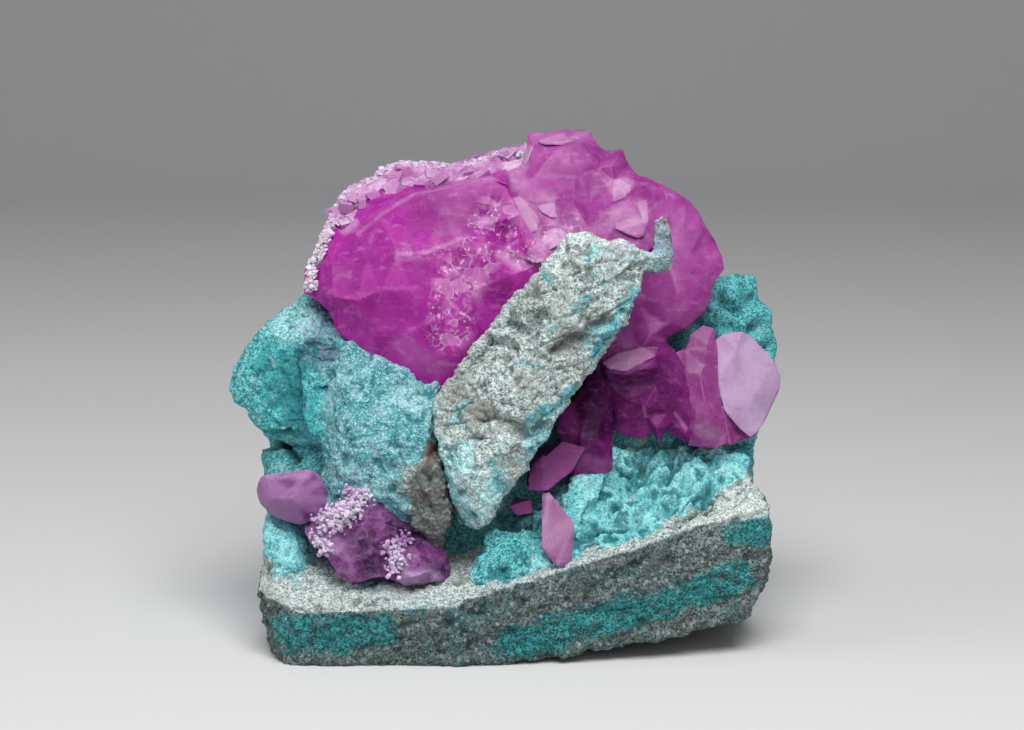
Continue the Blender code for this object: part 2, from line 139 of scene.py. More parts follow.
def seen_from_front(points):
    """Where each point shows from the front, in millimetres across and up at the target's depth: the
    way across and up from the line of sight, times the camera's way over the way straight ahead."""
    away = points - CAMERA_TARGET
    rise, level = math.sin(CAMERA_RISE), math.cos(CAMERA_RISE)
    ahead = CAMERA_WAY + away[:, 1] * level - away[:, 2] * rise
    up = away[:, 1] * rise + away[:, 2] * level
    scale = CAMERA_WAY / ahead
    across = away[:, 0] * scale + CAMERA_TARGET[0]
    return np.column_stack([across, up * scale + CAMERA_TARGET[2]])


def distance_to_path(points, path):
    """Each point's distance to a path of straight stretches, the least over the stretches."""
    best = np.full(len(points), 1e9)
    for start, end in zip(np.array(path, float), np.array(path, float)[1:]):
        along = end - start
        share = np.clip((points - start) @ along / (along @ along), 0, 1)
        best = np.minimum(best, np.linalg.norm(points - start - share[:, None] * along, axis=1))
    return best


def near_paths(places, paths):
    """The most that a place lies on any of the paths: a path's strength within its inner width and 0
    past its outer width. Each path is strength, inner width, outer width and its points."""
    most = np.zeros(len(places))
    for strength, inner, outer, path in paths:
        most = np.maximum(most, strength * (1 - ramp(distance_to_path(places, path), inner, outer)))
    return most


# Forms bounded by flat faces

def face_planes(corners):
    """The planes that bound the corners: through every three of them that leave all others behind.
    Gives the middle, and for each plane its unit normal and its distance from the middle."""
    corners = np.array(corners, float)
    middle = corners.mean(axis=0)
    local = corners - middle
    count = len(local)
    a, b, c = (index.ravel() for index in np.meshgrid(*[np.arange(count)] * 3, indexing="ij"))
    kept = (a < b) & (b < c)
    a, b, c = a[kept], b[kept], c[kept]
    normal = np.cross(local[b] - local[a], local[c] - local[a])
    length = np.linalg.norm(normal, axis=1)
    solid = length > 1e-6
    normal, a = normal[solid] / length[solid, None], a[solid]
    height = np.sum(normal * local[a], axis=1)
    turned = np.sign(height)
    normal, height = normal * turned[:, None], height * turned
    outside = (local @ normal.T).max(axis=0) <= height + 1e-4
    normal, height = normal[outside], height[outside]
    rounded = np.round(np.column_stack([normal, height]), 3)
    first = np.unique(rounded, axis=0, return_index=True)[1]
    return middle, normal[first], np.maximum(height[first], 0.05)


def reach_of(directions, normal, height, sharpness):
    """How far the flat-faced form reaches each way: 1 over the p-norm of normal.direction / height.
    A high p gives sharp edges, a low p round ones. Also each face's share of it."""
    share = np.maximum(directions @ (normal / height[:, None]).T, 0)
    largest = share.max(axis=1, keepdims=True)
    power = (share / largest) ** sharpness
    total = power.sum(axis=1, keepdims=True)
    return (1 / (largest * total ** (1 / sharpness)))[:, 0], power / total


def sphere_grid(rows, columns):
    """Directions over a sphere on a grid of rows and columns, a pole at each end, and its faces."""
    fall = np.linspace(0, math.pi, rows + 1)[1:-1]
    turn = np.linspace(0, 2 * math.pi, columns, endpoint=False)
    fall, turn = np.meshgrid(fall, turn, indexing="ij")
    ring = np.stack([np.sin(fall) * np.cos(turn), np.sin(fall) * np.sin(turn), np.cos(fall)], axis=-1)
    directions = np.concatenate([[[0, 0, 1]], ring.reshape(-1, 3), [[0, 0, -1]]])
    index = 1 + np.arange((rows - 1) * columns).reshape(rows - 1, columns)
    right = np.roll(index, -1, axis=1)
    quads = np.stack([index[:-1], index[1:], right[1:], right[:-1]], axis=-1).reshape(-1, 4)
    last = len(directions) - 1
    top = np.stack([np.zeros(columns, int), index[0], right[0]], axis=-1)
    foot = np.stack([np.full(columns, last), right[-1], index[-1]], axis=-1)
    return directions, quads.tolist() + top.tolist() + foot.tolist()


def mesh_object(name, points, faces):
    """A scene object from points in millimetres and faces."""
    mesh = bpy.data.meshes.new(name)
    mesh.from_pydata(((np.asarray(points) + SHIFT) * MM).tolist(), [], faces)
    mesh.update()
    piece = bpy.data.objects.new(name, mesh)
    bpy.context.scene.collection.objects.link(piece)
    return piece


def points_of(mesh):
    """A mesh's points in millimetres, in the model's axes before SHIFT."""
    flat = np.empty(len(mesh.vertices) * 3)
    mesh.vertices.foreach_get("co", flat)
    return flat.reshape(-1, 3) / MM - SHIFT


def normals_of(mesh):
    """A mesh's point normals."""
    flat = np.empty(len(mesh.vertices) * 3)
    mesh.vertex_normals.foreach_get("vector", flat)
    return flat.reshape(-1, 3)


def set_points(mesh, points):
    """Put points in millimetres into a mesh."""
    mesh.vertices.foreach_set("co", ((points + SHIFT) * MM).ravel())
    mesh.update()


def shade_smooth(mesh):
    """Shade a mesh's faces as one curved surface."""
    mesh.polygons.foreach_set("use_smooth", np.ones(len(mesh.polygons), bool))


def set_mask(mesh, name, values):
    """A number for each point, which a material reads by name."""
    mask = mesh.attributes.new(name, "FLOAT", "POINT")
    mask.data.foreach_set("value", np.clip(values, 0, 1).astype(np.float32))


def settle(piece):
    """Replace a piece's mesh by the one that its modifiers make."""
    bpy.context.view_layer.update()
    graph = bpy.context.evaluated_depsgraph_get()
    made = bpy.data.meshes.new_from_object(piece.evaluated_get(graph))
    piece.modifiers.clear()
    piece.data = made


def turn_outward(mesh):
    """Make every closed shell's faces point outwards."""
    shape = bmesh.new()
    shape.from_mesh(mesh)
    bmesh.ops.recalc_face_normals(shape, faces=shape.faces)
    shape.to_mesh(mesh)
    shape.free()


def join_grids(grids):
    """Several grids' points and faces as one list of each."""
    points, faces, start = [], [], 0
    for grid_points, grid_faces in grids:
        points.append(grid_points)
        faces += [[start + corner for corner in face] for face in grid_faces]
        start += len(grid_points)
    return np.concatenate(points), faces


# The rock: lumps as corners of flat-faced forms

ROCK_LUMPS = {
    "core": [
        (-30, -12, 0), (-31, 10, 0), (-24, 22, 0), (5, 24.5, 0), (24, 21, 0), (31, 10, 0.5),
        (10, -4, 0), (-6, -12, 0), (-33, -4, 22), (-34, 9, 24), (-27, 22, 22), (6, 25, 20),
        (28, 21, 22), (35, 8, 22), (33, -3, 22), (-29, 5, 42), (-27, 14, 43), (-17, 20, 45),
        (4, 21, 42), (23, 19, 44), (31, 14, 42), (28, 6, 38), (-18, -3, 38), (0, -5, 32),
        (14, -4, 28),
    ],
    "left slab": [
        (-28.6, -22, -0.5), (-4, -22.6, -0.5), (-26.4, -23, 7.8), (-15, -23.8, 8.1),
        (-6, -23.6, 8.9), (-32.9, -16, 9), (-32, -16.5, 5), (-30.2, -18, 0), (-33, -6, 9),
        (-31, -6, -0.5), (-30, -12, 11.5), (-18, -14, 10.6), (-6, -14, 11.5), (-31, 2, 13),
        (-4, 2, 13), (-4, 4, -0.5), (-30, 4, -0.5),
    ],
    "right slab": [
        (-6, -22.5, -0.5), (7, -21.6, 1.4), (17.5, -20.2, 2.5), (31.4, -17, 5.0),
        (35.2, -14, 11.5), (35.4, -14, 17.8), (34, -12, 20.3), (-8.4, -23.4, 8.7),
        (4.5, -22.2, 12.5), (17.4, -20, 15.7), (25.3, -17, 18.4), (-6, 5, -0.5), (28, 6, 0.8),
        (34, 0, 4), (-6, 0, 14), (33, 0, 22),
    ],
    "left mound": [
        (-32.2, -14, 10), (-31.6, -13, 15.2), (-29, -15, 14.6), (-27, -15.5, 11.2),
        (-31.5, -6, 18), (-26, -6, 16), (-32, -3, 10), (-26, -4, 10),
    ],
    "floor": [
        (-4.6, -21, 9), (4.5, -21.2, 12.4), (17.4, -19, 15.6), (25.3, -16.4, 18.3),
        (33.5, -12, 20), (32.8, -4, 25), (24.7, -4, 25.6), (13.9, -6, 25.8), (9.2, -10, 22),
        (-0.7, -15, 15.4), (-4.6, -18, 12), (-4, -10, 4), (30, -6, 6), (31, 4, 22),
        (10, 4, 22), (-4, 0, 10),
    ],
    "floor panel": [
        (10.6, -8.5, 26.6), (16.0, -7.5, 27), (12.6, -13, 21.8), (9.4, -17, 17.6),
        (6.6, -18.6, 15.2), (7.2, -15, 20.2), (8.8, -11.6, 23.6), (8, -8, 18), (14, -6, 20),
    ],
    "floor buds": [
        (-3.6, -17.5, 14.6), (-1.4, -20.4, 14.2), (1.8, -20.8, 13.8), (3.2, -19, 15.6),
        (0.6, -17.4, 17.4), (-2.2, -16, 17.2), (-4, -20.6, 11), (3, -21.4, 11), (0, -12, 12),
    ],
    "main lobe": [
        (-23.3, -6, 41.1), (-8.6, -11, 35.3), (-20.9, -15, 30.1), (-10.4, -17, 29.1),
        (-13.8, -16.5, 20.9), (-23.1, -13, 20.3), (-24.6, -10, 16.6), (-8.6, -13, 14.2),
        (-24, 4, 42), (-6, 4, 38), (-24, 4, 17), (-6, 4, 14),
    ],
    "outer lobe": [
        (-37.4, -1, 35.5), (-36.7, -3, 32.4), (-27.8, 2, 45.2), (-32.5, 1, 41.3),
        (-31.8, -5, 26.7), (-27.2, -6, 40.4), (-26.4, -9.6, 29.3), (-34, 8, 38),
        (-26, 12, 45), (-33, 10, 26), (-24, 6, 24), (-22, -2, 41), (-22, -7, 26),
    ],
    "brown boss": [
        (-12.4, -16.6, 24.9), (-8.5, -18.4, 27.4), (-6.9, -18.4, 18.7), (-8.6, -15.6, 13.9),
        (-11.8, -16.6, 16.9), (-13.1, -15.6, 20.7), (-12, -8, 24), (-6, -8, 24), (-8, -8, 15),
    ],
    "upper rib": [
        (8.6, -13, 55.2), (17.4, -13, 54.3), (18, -14, 51.2), (16.3, -16, 46),
        (13.2, -17, 40.7), (8.9, -19, 35), (6, -20, 31.7), (-9, -17, 28.5),
        (-8.8, -15, 34.7), (-4.6, -14.5, 40.8), (1.9, -14, 48.6), (7.1, -13, 54.1),
        (12.1, -16.5, 50.6), (7, -19, 43.9), (1.9, -20.5, 37), (-3.2, -21, 31.3),
        (9, -5, 50), (15, -5, 50), (13, -7, 40), (6, -8, 32), (-7, -6, 30), (0, -5, 44),
    ],
    "lower rib": [
        (-9.1, -18, 29.3), (5.1, -19, 29.9), (6.5, -19, 31.5), (1.9, -20, 25.1),
        (-0.1, -20, 21.6), (-3.3, -19, 17.2), (-5.1, -18, 17.7), (-7.2, -18, 21.4),
        (-0.7, -22, 28.8), (-4.5, -22, 24.9), (-2, -21, 20.8), (3, -9, 28), (-7, -8, 28),
        (-4, -9, 19), (-6, -12, 17),
    ],
    "right knob": [
        (28.3, 8, 45), (31.4, 8, 47.5), (34.5, 9, 47.4), (35.6, 8, 43.7), (37.4, 7, 38.9),
        (37.8, 7, 36.6), (36.8, 6, 34), (34.5, 0, 25.7), (33.1, -4, 23.1), (28, 18, 44),
        (34, 17, 44), (36, 15, 36), (34, 12, 24), (26, 10, 40), (24, 4, 24),
    ],
    "back shoulder": [
        (-22, 12, 40), (-19, 20, 45), (-8, 22.5, 48), (6, 22.5, 49.5), (17, 21, 49),
        (26, 17, 46), (29, 13, 42), (-18, 8, 40), (24, 8, 40), (0, 24, 36), (18, 22, 36),
    ],
    "back ridge": [
        (-20, 20, 6), (-14, 23.5, 12), (4, 26, 24), (16, 25, 33), (20, 22, 38), (8, 18, 38),
        (-10, 18, 24), (-22, 16, 12), (8, 20, 14), (18, 18, 24),
    ],
    "spur arm": [
        (14.5, -13.8, 53.4), (14.5, -13.8, 51.2), (21.4, -11.8, 50.2), (21.8, -11.8, 52.2),
        (14.5, -11.0, 53.6), (14.5, -11.0, 51.0), (21.4, -9.6, 50.2), (21.8, -9.6, 52.2),
    ],
    "spur tip": [
        (19.6, -11.8, 50.8), (21.8, -11.8, 50.4), (19.9, -11.0, 54.2), (21.6, -11.0, 54.4),
        (19.2, -10.6, 56.8), (20.8, -10.6, 57.9), (20.0, -9.2, 51.0), (21.7, -9.2, 51.2),
        (19.6, -9.0, 57.0), (21.2, -9.0, 56.6),
    ],
    "corner nub": [
        (31.6, -15.5, 4.6), (32.6, -15.8, 6.6), (32.9, -14.6, 9.2), (31.4, -13.2, 9.6),
        (30.2, -14.4, 5.0), (31.0, -12.2, 5.4),
    ],
}

# Which lumps make each piece of the rock's skin, its voxel size, how many times its front is split
# finer, and which way its creases run
ROCK_PIECES = {
    "rock_back": (("core", "right knob", "back shoulder", "back ridge"), 0.64, 0, (1, 0, 0.2)),
    "rock_slab": (("left slab", "right slab", "left mound", "corner nub"), 0.5, 1, (1, 0, 0.18)),
    "rock_floor": (("floor", "floor panel", "floor buds"), 0.66, 2, (0.75, -0.4, 0.5)),
    "rock_lobes": (("main lobe", "outer lobe", "brown boss"), 0.64, 2, (0.6, 0, -0.8)),
    "rock_rib": (("upper rib", "lower rib", "spur arm", "spur tip"), 0.57, 2, (0.92, 0, 0.39)),
}

# Strength of the relief on each lump: swells and knobs, crust, creases; and how much painted shade darkens
# its faces that look down or to the front
LUMP_RELIEF = {
    "core": (0.8, 1.0, 0.4, 0.3), "right knob": (1.9, 1.0, 0.1, 0), "back shoulder": (0.8, 1.0, 0.4, 0.2),
    "back ridge": (0.8, 1.0, 0.6, 0.4), "left slab": (0.3, 1.1, 0.5, 1), "right slab": (0.3, 1.1, 0.6, 1),
    "left mound": (0.6, 1.0, 0.2, 0), "corner nub": (0.1, 0.7, 0, 0), "floor": (0.45, 1.7, 2.3, 0),
    "floor panel": (0.1, 0.9, 0.2, 0), "floor buds": (1.0, 1.4, 0, 0), "main lobe": (0.6, 1.1, 0.2, 0),
    "outer lobe": (1.0, 1.1, 0.3, 0), "brown boss": (0.5, 1.2, 0, 0.5), "upper rib": (1.1, 1.3, 0.9, 0.1),
    "lower rib": (0.8, 1.0, 0.15, 0), "spur arm": (0.05, 0.9, 0, 0.5), "spur tip": (0.05, 0.9, 0, 0.5),
}

# How much chrysocolla coats each lump: 0 is bare stone, 1 is all coated
LUMP_COAT = {
    "core": 0.8, "right knob": 1.15, "back shoulder": 0.6, "back ridge": 0.3, "left slab": 0.24,
    "right slab": 0.24, "left mound": 1.0, "corner nub": 0.3, "floor": 1.3, "floor panel": 1.4,
    "floor buds": 1.1, "main lobe": 0.85, "outer lobe": 1.1, "brown boss": 0.0,
    "upper rib": 0.14, "lower rib": 0.55, "spur arm": 0.4, "spur tip": 0.4,
}

# Where the chrysocolla is deep in colour, partly as painted shade on lumps in shade; where it is a lighter
# cyan, partly as painted light on floor lumps that face the light; and where the stone is brown
LUMP_TONES = {
    "deep_coat_and_shade": {"right knob": 1.0, "outer lobe": 0.9, "floor buds": 1.0, "core": 0.7},
    "light_coat_and_light": {"floor": 0.9, "floor panel": 1.0, "left mound": 0.8},
    "brown": {"brown boss": 1.0},
}

# Valleys and pits from the front: depth, inner width, outer width, path
GROOVES = {
    "outer lobe valley": (1.8, 0.2, 4.2, [(-25.8, 38.2), (-28.4, 35.2), (-29.6, 32.4), (-28.9, 28.2)]),
    "lobe parting": (0.5, 0.1, 2.4, [(-25.3, 37.4), (-25.3, 32), (-26, 28)]),
    "first pit": (0.5, 0.1, 1.2, [(-22, 31.3), (-21.3, 31.1)]),
    "second pit": (0.5, 0.1, 1.0, [(-19.4, 30.3), (-18.6, 30.3)]),
    "long pit": (0.7, 0.1, 1.1, [(-14.9, 33.7), (-12.9, 34.2), (-10.9, 34.7)]),
    # The black hole is a deep pit whose blackness is painted shade.
    "black hole": (4.5, 0.5, 1.2, [(-32.5, 25.5), (-30.4, 25.7)]),
    "left crack": (2.4, 0.2, 0.9, [(-29.9, 25.2), (-28.9, 23.2)]),
    "rib shoulder": (1.6, 0.2, 1.8, [(-0.8, 42.3), (2.4, 41.4), (4.6, 42.6)]),
    "rib step": (1.5, 0.2, 1.6, [(7.3, 38.3), (10.4, 40.3), (13.2, 41.6)]),
    "rib left step": (1.3, 0.1, 1.4, [(-5.4, 36.6), (-2.4, 39.2), (0.6, 38.6)]),
    "rib foot step": (1.3, 0.1, 1.6, [(-3.2, 28.4), (1.2, 28.0), (3.6, 26.4)]),
    "rib top dent": (0.8, 0.1, 1.6, [(12.6, 52.2), (15.2, 49.6), (16.4, 47.8)]),
    "rib pit": (1.4, 0.1, 0.9, [(16.8, 49.4), (17.3, 49.6)]),
    "panel step": (1.0, 0.0, 0.9, [
        (20.2, 26.1), (16.8, 22.5), (14.1, 20.5), (12.7, 17.8), (10.7, 15.1), (9.8, 12.4),
    ]),
    "floor gash": (1.6, 0.1, 1.2, [(24.1, 22.9), (20.8, 20.5)]),
    "floor pit one": (1.3, 0.1, 1.3, [(18.3, 22.9), (19.6, 23.2)]),
    "floor pit two": (1.2, 0.1, 1.2, [(17.2, 19.7), (18.8, 20.4)]),
    "floor pit three": (1.1, 0.1, 1.1, [(19.6, 18.4), (20.9, 19.2)]),
    "floor pit four": (1.2, 0.1, 1.2, [(17, 14.8), (18.7, 16.4)]),
    "floor flow one": (1.2, 0.1, 1.0, [(28.8, 22.2), (24.6, 19.6), (21.8, 16.2)]),
    "floor flow two": (1.1, 0.1, 0.9, [(22.6, 24.2), (18.2, 21.6), (15.4, 17.6), (14.4, 15.0)]),
    "floor flow three": (0.9, 0.1, 0.9, [(29.6, 20.4), (26.0, 17.6), (23.4, 14.6)]),
    "floor flow four": (1.0, 0.1, 1.2, [(6.4, 12.6), (3.4, 14.6), (1.6, 17.6)]),
    "knob crease one": (1.3, 0.1, 1.3, [(28.6, 44.6), (31.2, 43.4), (33.8, 44.8)]),
    "knob crease two": (1.3, 0.1, 1.3, [(29.4, 41.6), (31.8, 40.2), (34.6, 41.4)]),
    "knob crease three": (1.2, 0.1, 1.2, [(31.6, 37.8), (34.0, 37.6), (36.4, 38.8)]),
    "knob crease four": (1.0, 0.1, 1.1, [(32.0, 46.6), (32.2, 43.8), (31.4, 41.0), (33.2, 38.2)]),
}

# Patches of colour from the front: strength, inner width, outer width, path
ROCK_PATCHES = {
    "bare": [
        (1, 1.6, 3.6, [(27.3, 14), (31, 17.1), (33.7, 19.1)]),
        (1, 0.5, 1.6, [(12.7, 9.7), (18.1, 11.7), (26.2, 16.2), (32.3, 19.5)]),
        (1, 0.6, 1.8, [(-32.9, 6.3), (-27.8, 4), (-14.3, 4.7), (-7.5, 5.6)]),
        (1, 1.0, 2.4, [(-33.6, 9.0), (-32.8, 4.0), (-31.6, -3.0)]),
    ],
    "teal_and_valley_shade": [
        # The first two paths are painted shade: deeper blue-green in the outer lobe's valley. The others are
        # the coat's own blue-green veins and patches.
        (1.2, 2.4, 6.0, [(-29.8, 34.8), (-29.4, 31), (-28.6, 28.2)]),
        (0.7, 0.5, 1.8, [(-26.0, 37.6), (-25.6, 31.0)]),
        (1, 1.2, 3.0, [(31.6, 13.7), (35, 14)]),
        (1, 1.2, 3.2, [(26.2, 5.4), (31.6, 7.5)]),
        (1, 1.0, 3.4, [(1.0, -1.6), (8.0, 0.2), (14.5, 2.2), (26.2, 5.4)]),
        (1, 1.2, 3.6, [(-29.8, -0.2), (-17.6, 0.2)]),
        (0.8, 0.1, 1.3, [(5.3, 48.2), (5.8, 47.6)]),
        (0.8, 0.1, 1.4, [(11.4, 50.6), (12.8, 51.2)]),
        (0.8, 0.1, 1.6, [(6.0, 40.8), (8.0, 42.2)]),
        (0.8, 0.1, 1.3, [(-0.9, 42.4), (-0.5, 40.8)]),
        (0.7, 0.2, 2.0, [(2.6, 36.7), (4.6, 35.6)]),
        (0.7, 0.1, 1.6, [(9.4, 32.6), (6.6, 30.2), (2.4, 28.4)]),
        (0.7, 0.1, 1.6, [(-1.6, 22.4), (-0.6, 19.8), (-2.4, 17.4)]),
        (0.6, 0.1, 1.4, [(10.6, 45.0), (9.2, 43.2)]),
        (0.8, 0.1, 0.8, [(7.3, 53.2), (3.3, 49.5), (-0.8, 45.4), (-3.4, 39.8)]),
        (0.6, 0.1, 1.2, [(17.4, 46.2), (14.6, 40.8), (12.2, 37.4)]),
    ],
    "pale": [
        (0.8, 1.4, 4.5, [(7.3, 51.5), (12.7, 52.5), (17.4, 51.5)]),
        (0.4, 0.6, 1.8, [(-32.9, 6.3), (-27.8, 4), (-14.3, 4.7), (-7.5, 5.6)]),
        (0.6, 1.0, 3.8, [(-29.1, 41.4), (-24.9, 43.6)]),
        (1, 1.0, 3.0, [(27.3, 14), (31, 17.1), (33.7, 19.1)]),
        (1, 1.2, 3.6, [(-6.4, 24.8), (-4.4, 20.4), (-2.8, 17.4)]),
        (0.7, 0.8, 2.8, [(-1.4, 27.6), (2.4, 26.8)]),
        (0.5, 0.8, 2.4, [(-14.0, 32.4), (-10.6, 30.4), (-9.4, 27.4)]),
        (0.6, 0.5, 2.0, [(9.4, 43.6), (10.6, 38.4)]),
    ],
    "tan": [
        (1, 0.6, 3.4, [(8.6, 39.6), (11.4, 38.6), (12.2, 41.4)]),
        (1, 0.6, 2.8, [(-7.4, 35.0), (-6.6, 31.6)]),
        (0.5, 0.4, 2.4, [(0.6, 44.6), (4.0, 45.0)]),
        (0.7, 0.3, 1.6, [(-0.9, 43.9), (0.4, 44.4)]),
        (0.35, 0.5, 2.2, [(27.6, 14.2), (32.4, 18.4)]),
        (0.5, 0.3, 1.6, [(-33.0, 6.0), (-30.6, 4.8)]),
        (0.5, 0.2, 1.6, [(-28.6, 41.6), (-25.9, 43.2)]),
        (0.7, 1.0, 3.2, [(-6.0, 30.6), (-2.8, 28.8)]),
        (0.6, 1.0, 2.2, [(-33.6, 9.0), (-32.8, 4.0), (-31.6, -3.0)]),
    ],
    "rust": [
        (1, 0.2, 1.3, [(-10.3, 25.0), (-10.0, 23.4)]), (0.8, 0.1, 1.0, [(-11.6, 19.0), (-9.4, 18.6)]),
    ],
    "lilac": [
        (0.6, 0.4, 3.0, [(-25.7, 41.2), (-24.9, 38)]),
        (0.7, 0.3, 1.3, [(-10.2, 34.4), (-8.9, 33.8)]),
        (0.6, 0.1, 0.9, [(-24.4, 42.0), (-20.6, 39.2), (-16.6, 37.4), (-12.9, 35.8)]),
        (0.6, 0.6, 2.2, [(15.5, 52.0), (21.5, 51.5), (20.5, 57.0)]),
    ],
}

# Sizes of the rock's forms, in millimetres
SWELL_SIZE = 9.0
BUD_SIZE = 3.4
CRUST_SIZE = 1.5
FLAKE_SIZE = 1.2
GRAIN_SIZE = 0.5
CREASE_SIZE = (7.5, 4.0, 1.9)
SHARE_REACH = 0.9
LUMP_GRID = (60, 120)
LUMP_SHARPNESS = 60


def lump_shares(points, lumps):
    """For each point, how much it belongs to each lump: a lump's share falls steeply with the
    point's distance from that lump's own surface."""
    closeness = []
    for name in lumps:
        middle, normal, height = face_planes(ROCK_LUMPS[name])
        depth = ((points - middle) @ normal.T - height).max(axis=1)
        closeness.append(np.exp(-np.abs(depth) / SHARE_REACH))
    shares = np.stack(closeness, axis=1) ** 2 + 1e-9
    return shares / shares.sum(axis=1, keepdims=True)


def crease_depth(points, way):
    """Long thin creases that run one way: 1 where soft noise, stretched along the way, passes 0."""
    along = np.array(way, float) / np.linalg.norm(way)
    across = np.cross(along, [0, 1, 0])
    across /= np.linalg.norm(across)
    depth = np.cross(across, along)
    axes = np.column_stack([along, depth, across])
    ridge = np.abs(layered_noise(points @ axes / CREASE_SIZE, 1.0, 2, seed=61))
    return 1 - ramp(ridge, 0.0, 0.24)


def rock_relief(points, strength, way):
    """Millimetres to move out along the normal: broad swells, buds with creases between, creases that
    run one way, and a crust of small flakes and grains. Also how low the crust or the creases lie."""
    knobs, flaky, creases = strength[:, :3].T
    warped = points + 0.8 * soft_noise(points, 2.4, seed=5)[:, None]
    swell = 0.8 * layered_noise(points, SWELL_SIZE, 3, seed=1)
    buds = 0.32 - bowls(warped, BUD_SIZE, 0.5, 0.7, seed=11)[0]
    flakes = 0.16 - bowls(warped, FLAKE_SIZE, 0.8, 0.7, seed=23)[0]
    grains = 0.32 - bowls(points, GRAIN_SIZE, 0.6, 0.8, seed=41)[0]
    rough = 0.45 * layered_noise(points, CRUST_SIZE, 3, seed=31)
    crust = flaky * (0.5 * flakes + 0.3 * grains + rough)
    furrows = creases * crease_depth(points, way) * ramp(soft_noise(points, 5.0, seed=71), -0.4, 0.2)
    low = np.minimum(crust, 0.1 - 0.3 * furrows)
    return knobs * (swell + 0.75 * buds) - 0.6 * furrows + crust, low


def refine_front(mesh):
    """Split each face that the front shows into four."""
    shape = bmesh.new()
    shape.from_mesh(mesh)
    shape.normal_update()
    edges = set()
    for face in shape.faces:
        middle = face.calc_center_median()
        shown = face.normal.y < 0.1 or face.normal.z > 0.45
        if shown and middle.y < 0.005 and middle.z > 0.0006 and face.normal.z > -0.6:
            edges.update(face.edges)
    bmesh.ops.subdivide_edges(shape, edges=list(edges), cuts=1, use_grid_fill=True)
    shape.to_mesh(mesh)
    shape.free()


def wrap_lumps(name, lumps, voxel, refinements):
    """The lumps as flat-faced forms, made one skin of voxels, worn and split finer at the front."""
    directions, faces = sphere_grid(*LUMP_GRID)
    grids = []
    for lump in lumps:
        middle, normal, height = face_planes(ROCK_LUMPS[lump])
        reach = reach_of(directions, normal, height, LUMP_SHARPNESS)[0]
        grids.append((middle + reach[:, None] * directions, faces))
    rock = mesh_object(name, *join_grids(grids))
    remesh = rock.modifiers.new("one skin", "REMESH")
    remesh.mode = "VOXEL"
    remesh.voxel_size = voxel * MM
    worn = rock.modifiers.new("worn edges", "SMOOTH")
    worn.iterations = 2
    settle(rock)
    for _ in range(refinements):
        refine_front(rock.data)
    return rock


def make_rock_piece(name):
    """A piece of the rock's skin, with relief, pits, the masks of its colours and a flat foot. The
    borders of pits and patches are frayed by noise."""
    lumps, voxel, refinements, way = ROCK_PIECES[name]
    rock = wrap_lumps(name, lumps, voxel, refinements)
    mesh = rock.data
    points, normals = points_of(mesh), normals_of(mesh)
    shares = lump_shares(points, lumps)
    strength = shares @ np.array([LUMP_RELIEF[lump] for lump in lumps])
    push = np.stack([layered_noise(points, 2.4, 3, seed) for seed in (81, 82, 83)], axis=1)
    seen = seen_from_front(points + push)
    front = ramp(normals @ TOWARDS_CAMERA, -0.1, 0.3) * ramp(-points[:, 1], -12, -9)
    relief, low = rock_relief(points, strength, way)
    pits = front * near_paths(seen, GROOVES.values())
    moved = points + normals * (relief - pits)[:, None]
    moved[:, 2] = np.maximum(moved[:, 2], FOOT)
    set_points(mesh, moved)

    patches = {kind: front * near_paths(seen, paths) for kind, paths in ROCK_PATCHES.items()}
    coat = shares @ np.array([LUMP_COAT[lump] for lump in lumps])
    coat = coat + 0.6 * layered_noise(points, 6.0, 4, seed=51)
    coat = coat + 0.7 * patches["teal_and_valley_shade"] - 1.1 * patches.pop("bare")
    set_mask(mesh, "coat", ramp(coat, 0.0, 1.0))
    for kind, patch in patches.items():
        set_mask(mesh, kind, patch)
    for kind, tones in LUMP_TONES.items():
        set_mask(mesh, kind, shares @ np.array([tones.get(lump, 0) for lump in lumps]))
    # Painted shade: the low parts of the crust, the creases and the pits are darkened.
    set_mask(mesh, "hollow_shade", np.maximum(ramp(-low, 0.02, 0.4), ramp(pits, 0.4, 1.8)))
    # Painted shade: the deepest pits, such as the black hole, are coloured near black.
    set_mask(mesh, "hole", ramp(pits, 1.8, 3.2))
    # Painted shade: faces that look down or to the front are darkened, more on lumps with a high fourth
    # number in LUMP_RELIEF.
    set_mask(mesh, "shade_on_down_faces", strength[:, 3] * (1 - ramp(normals[:, 2], 0.25, 0.7)))
    shade_smooth(mesh)
    return rock


# The crystals. Those with an outline are seen sides: corners round the outline as the front shows it,
# then the corners within it. The others are flat-faced forms.

PLATE_OUTLINE = [
    (-23.2, 3, 55.1), (-21.9, 0.6, 53.9), (-20.0, -2.6, 53.6), (-16.8, -3.2, 56.5),
    (-14.3, -3.2, 58.1), (-10.7, -3.2, 59.6), (-6.4, -3.2, 60.5), (-1.4, -3, 61.5),
    (0.2, -3.2, 60.5), (2.2, -4.8, 57.0), (4.1, -6.4, 53.8), (5.6, -6.8, 51.0), (4.2, -7.2, 48.0),
    (1.0, -8.0, 44.6), (-2.4, -9.0, 40.3), (-6.4, -9.6, 35.7), (-8.6, -9.8, 34.4),
    (-10.8, -9.2, 35.1), (-13.2, -8.6, 36.1), (-16.8, -7.4, 37.4), (-20.6, -5.6, 39.7),
    (-22.6, -4.4, 41.4), (-23.7, -3, 43.7), (-25.5, -2, 45.2), (-27.2, -0.6, 45.8),
    (-27.1, 0, 48.9), (-26.0, 1, 51.2), (-24.7, 1.5, 53.3),
]
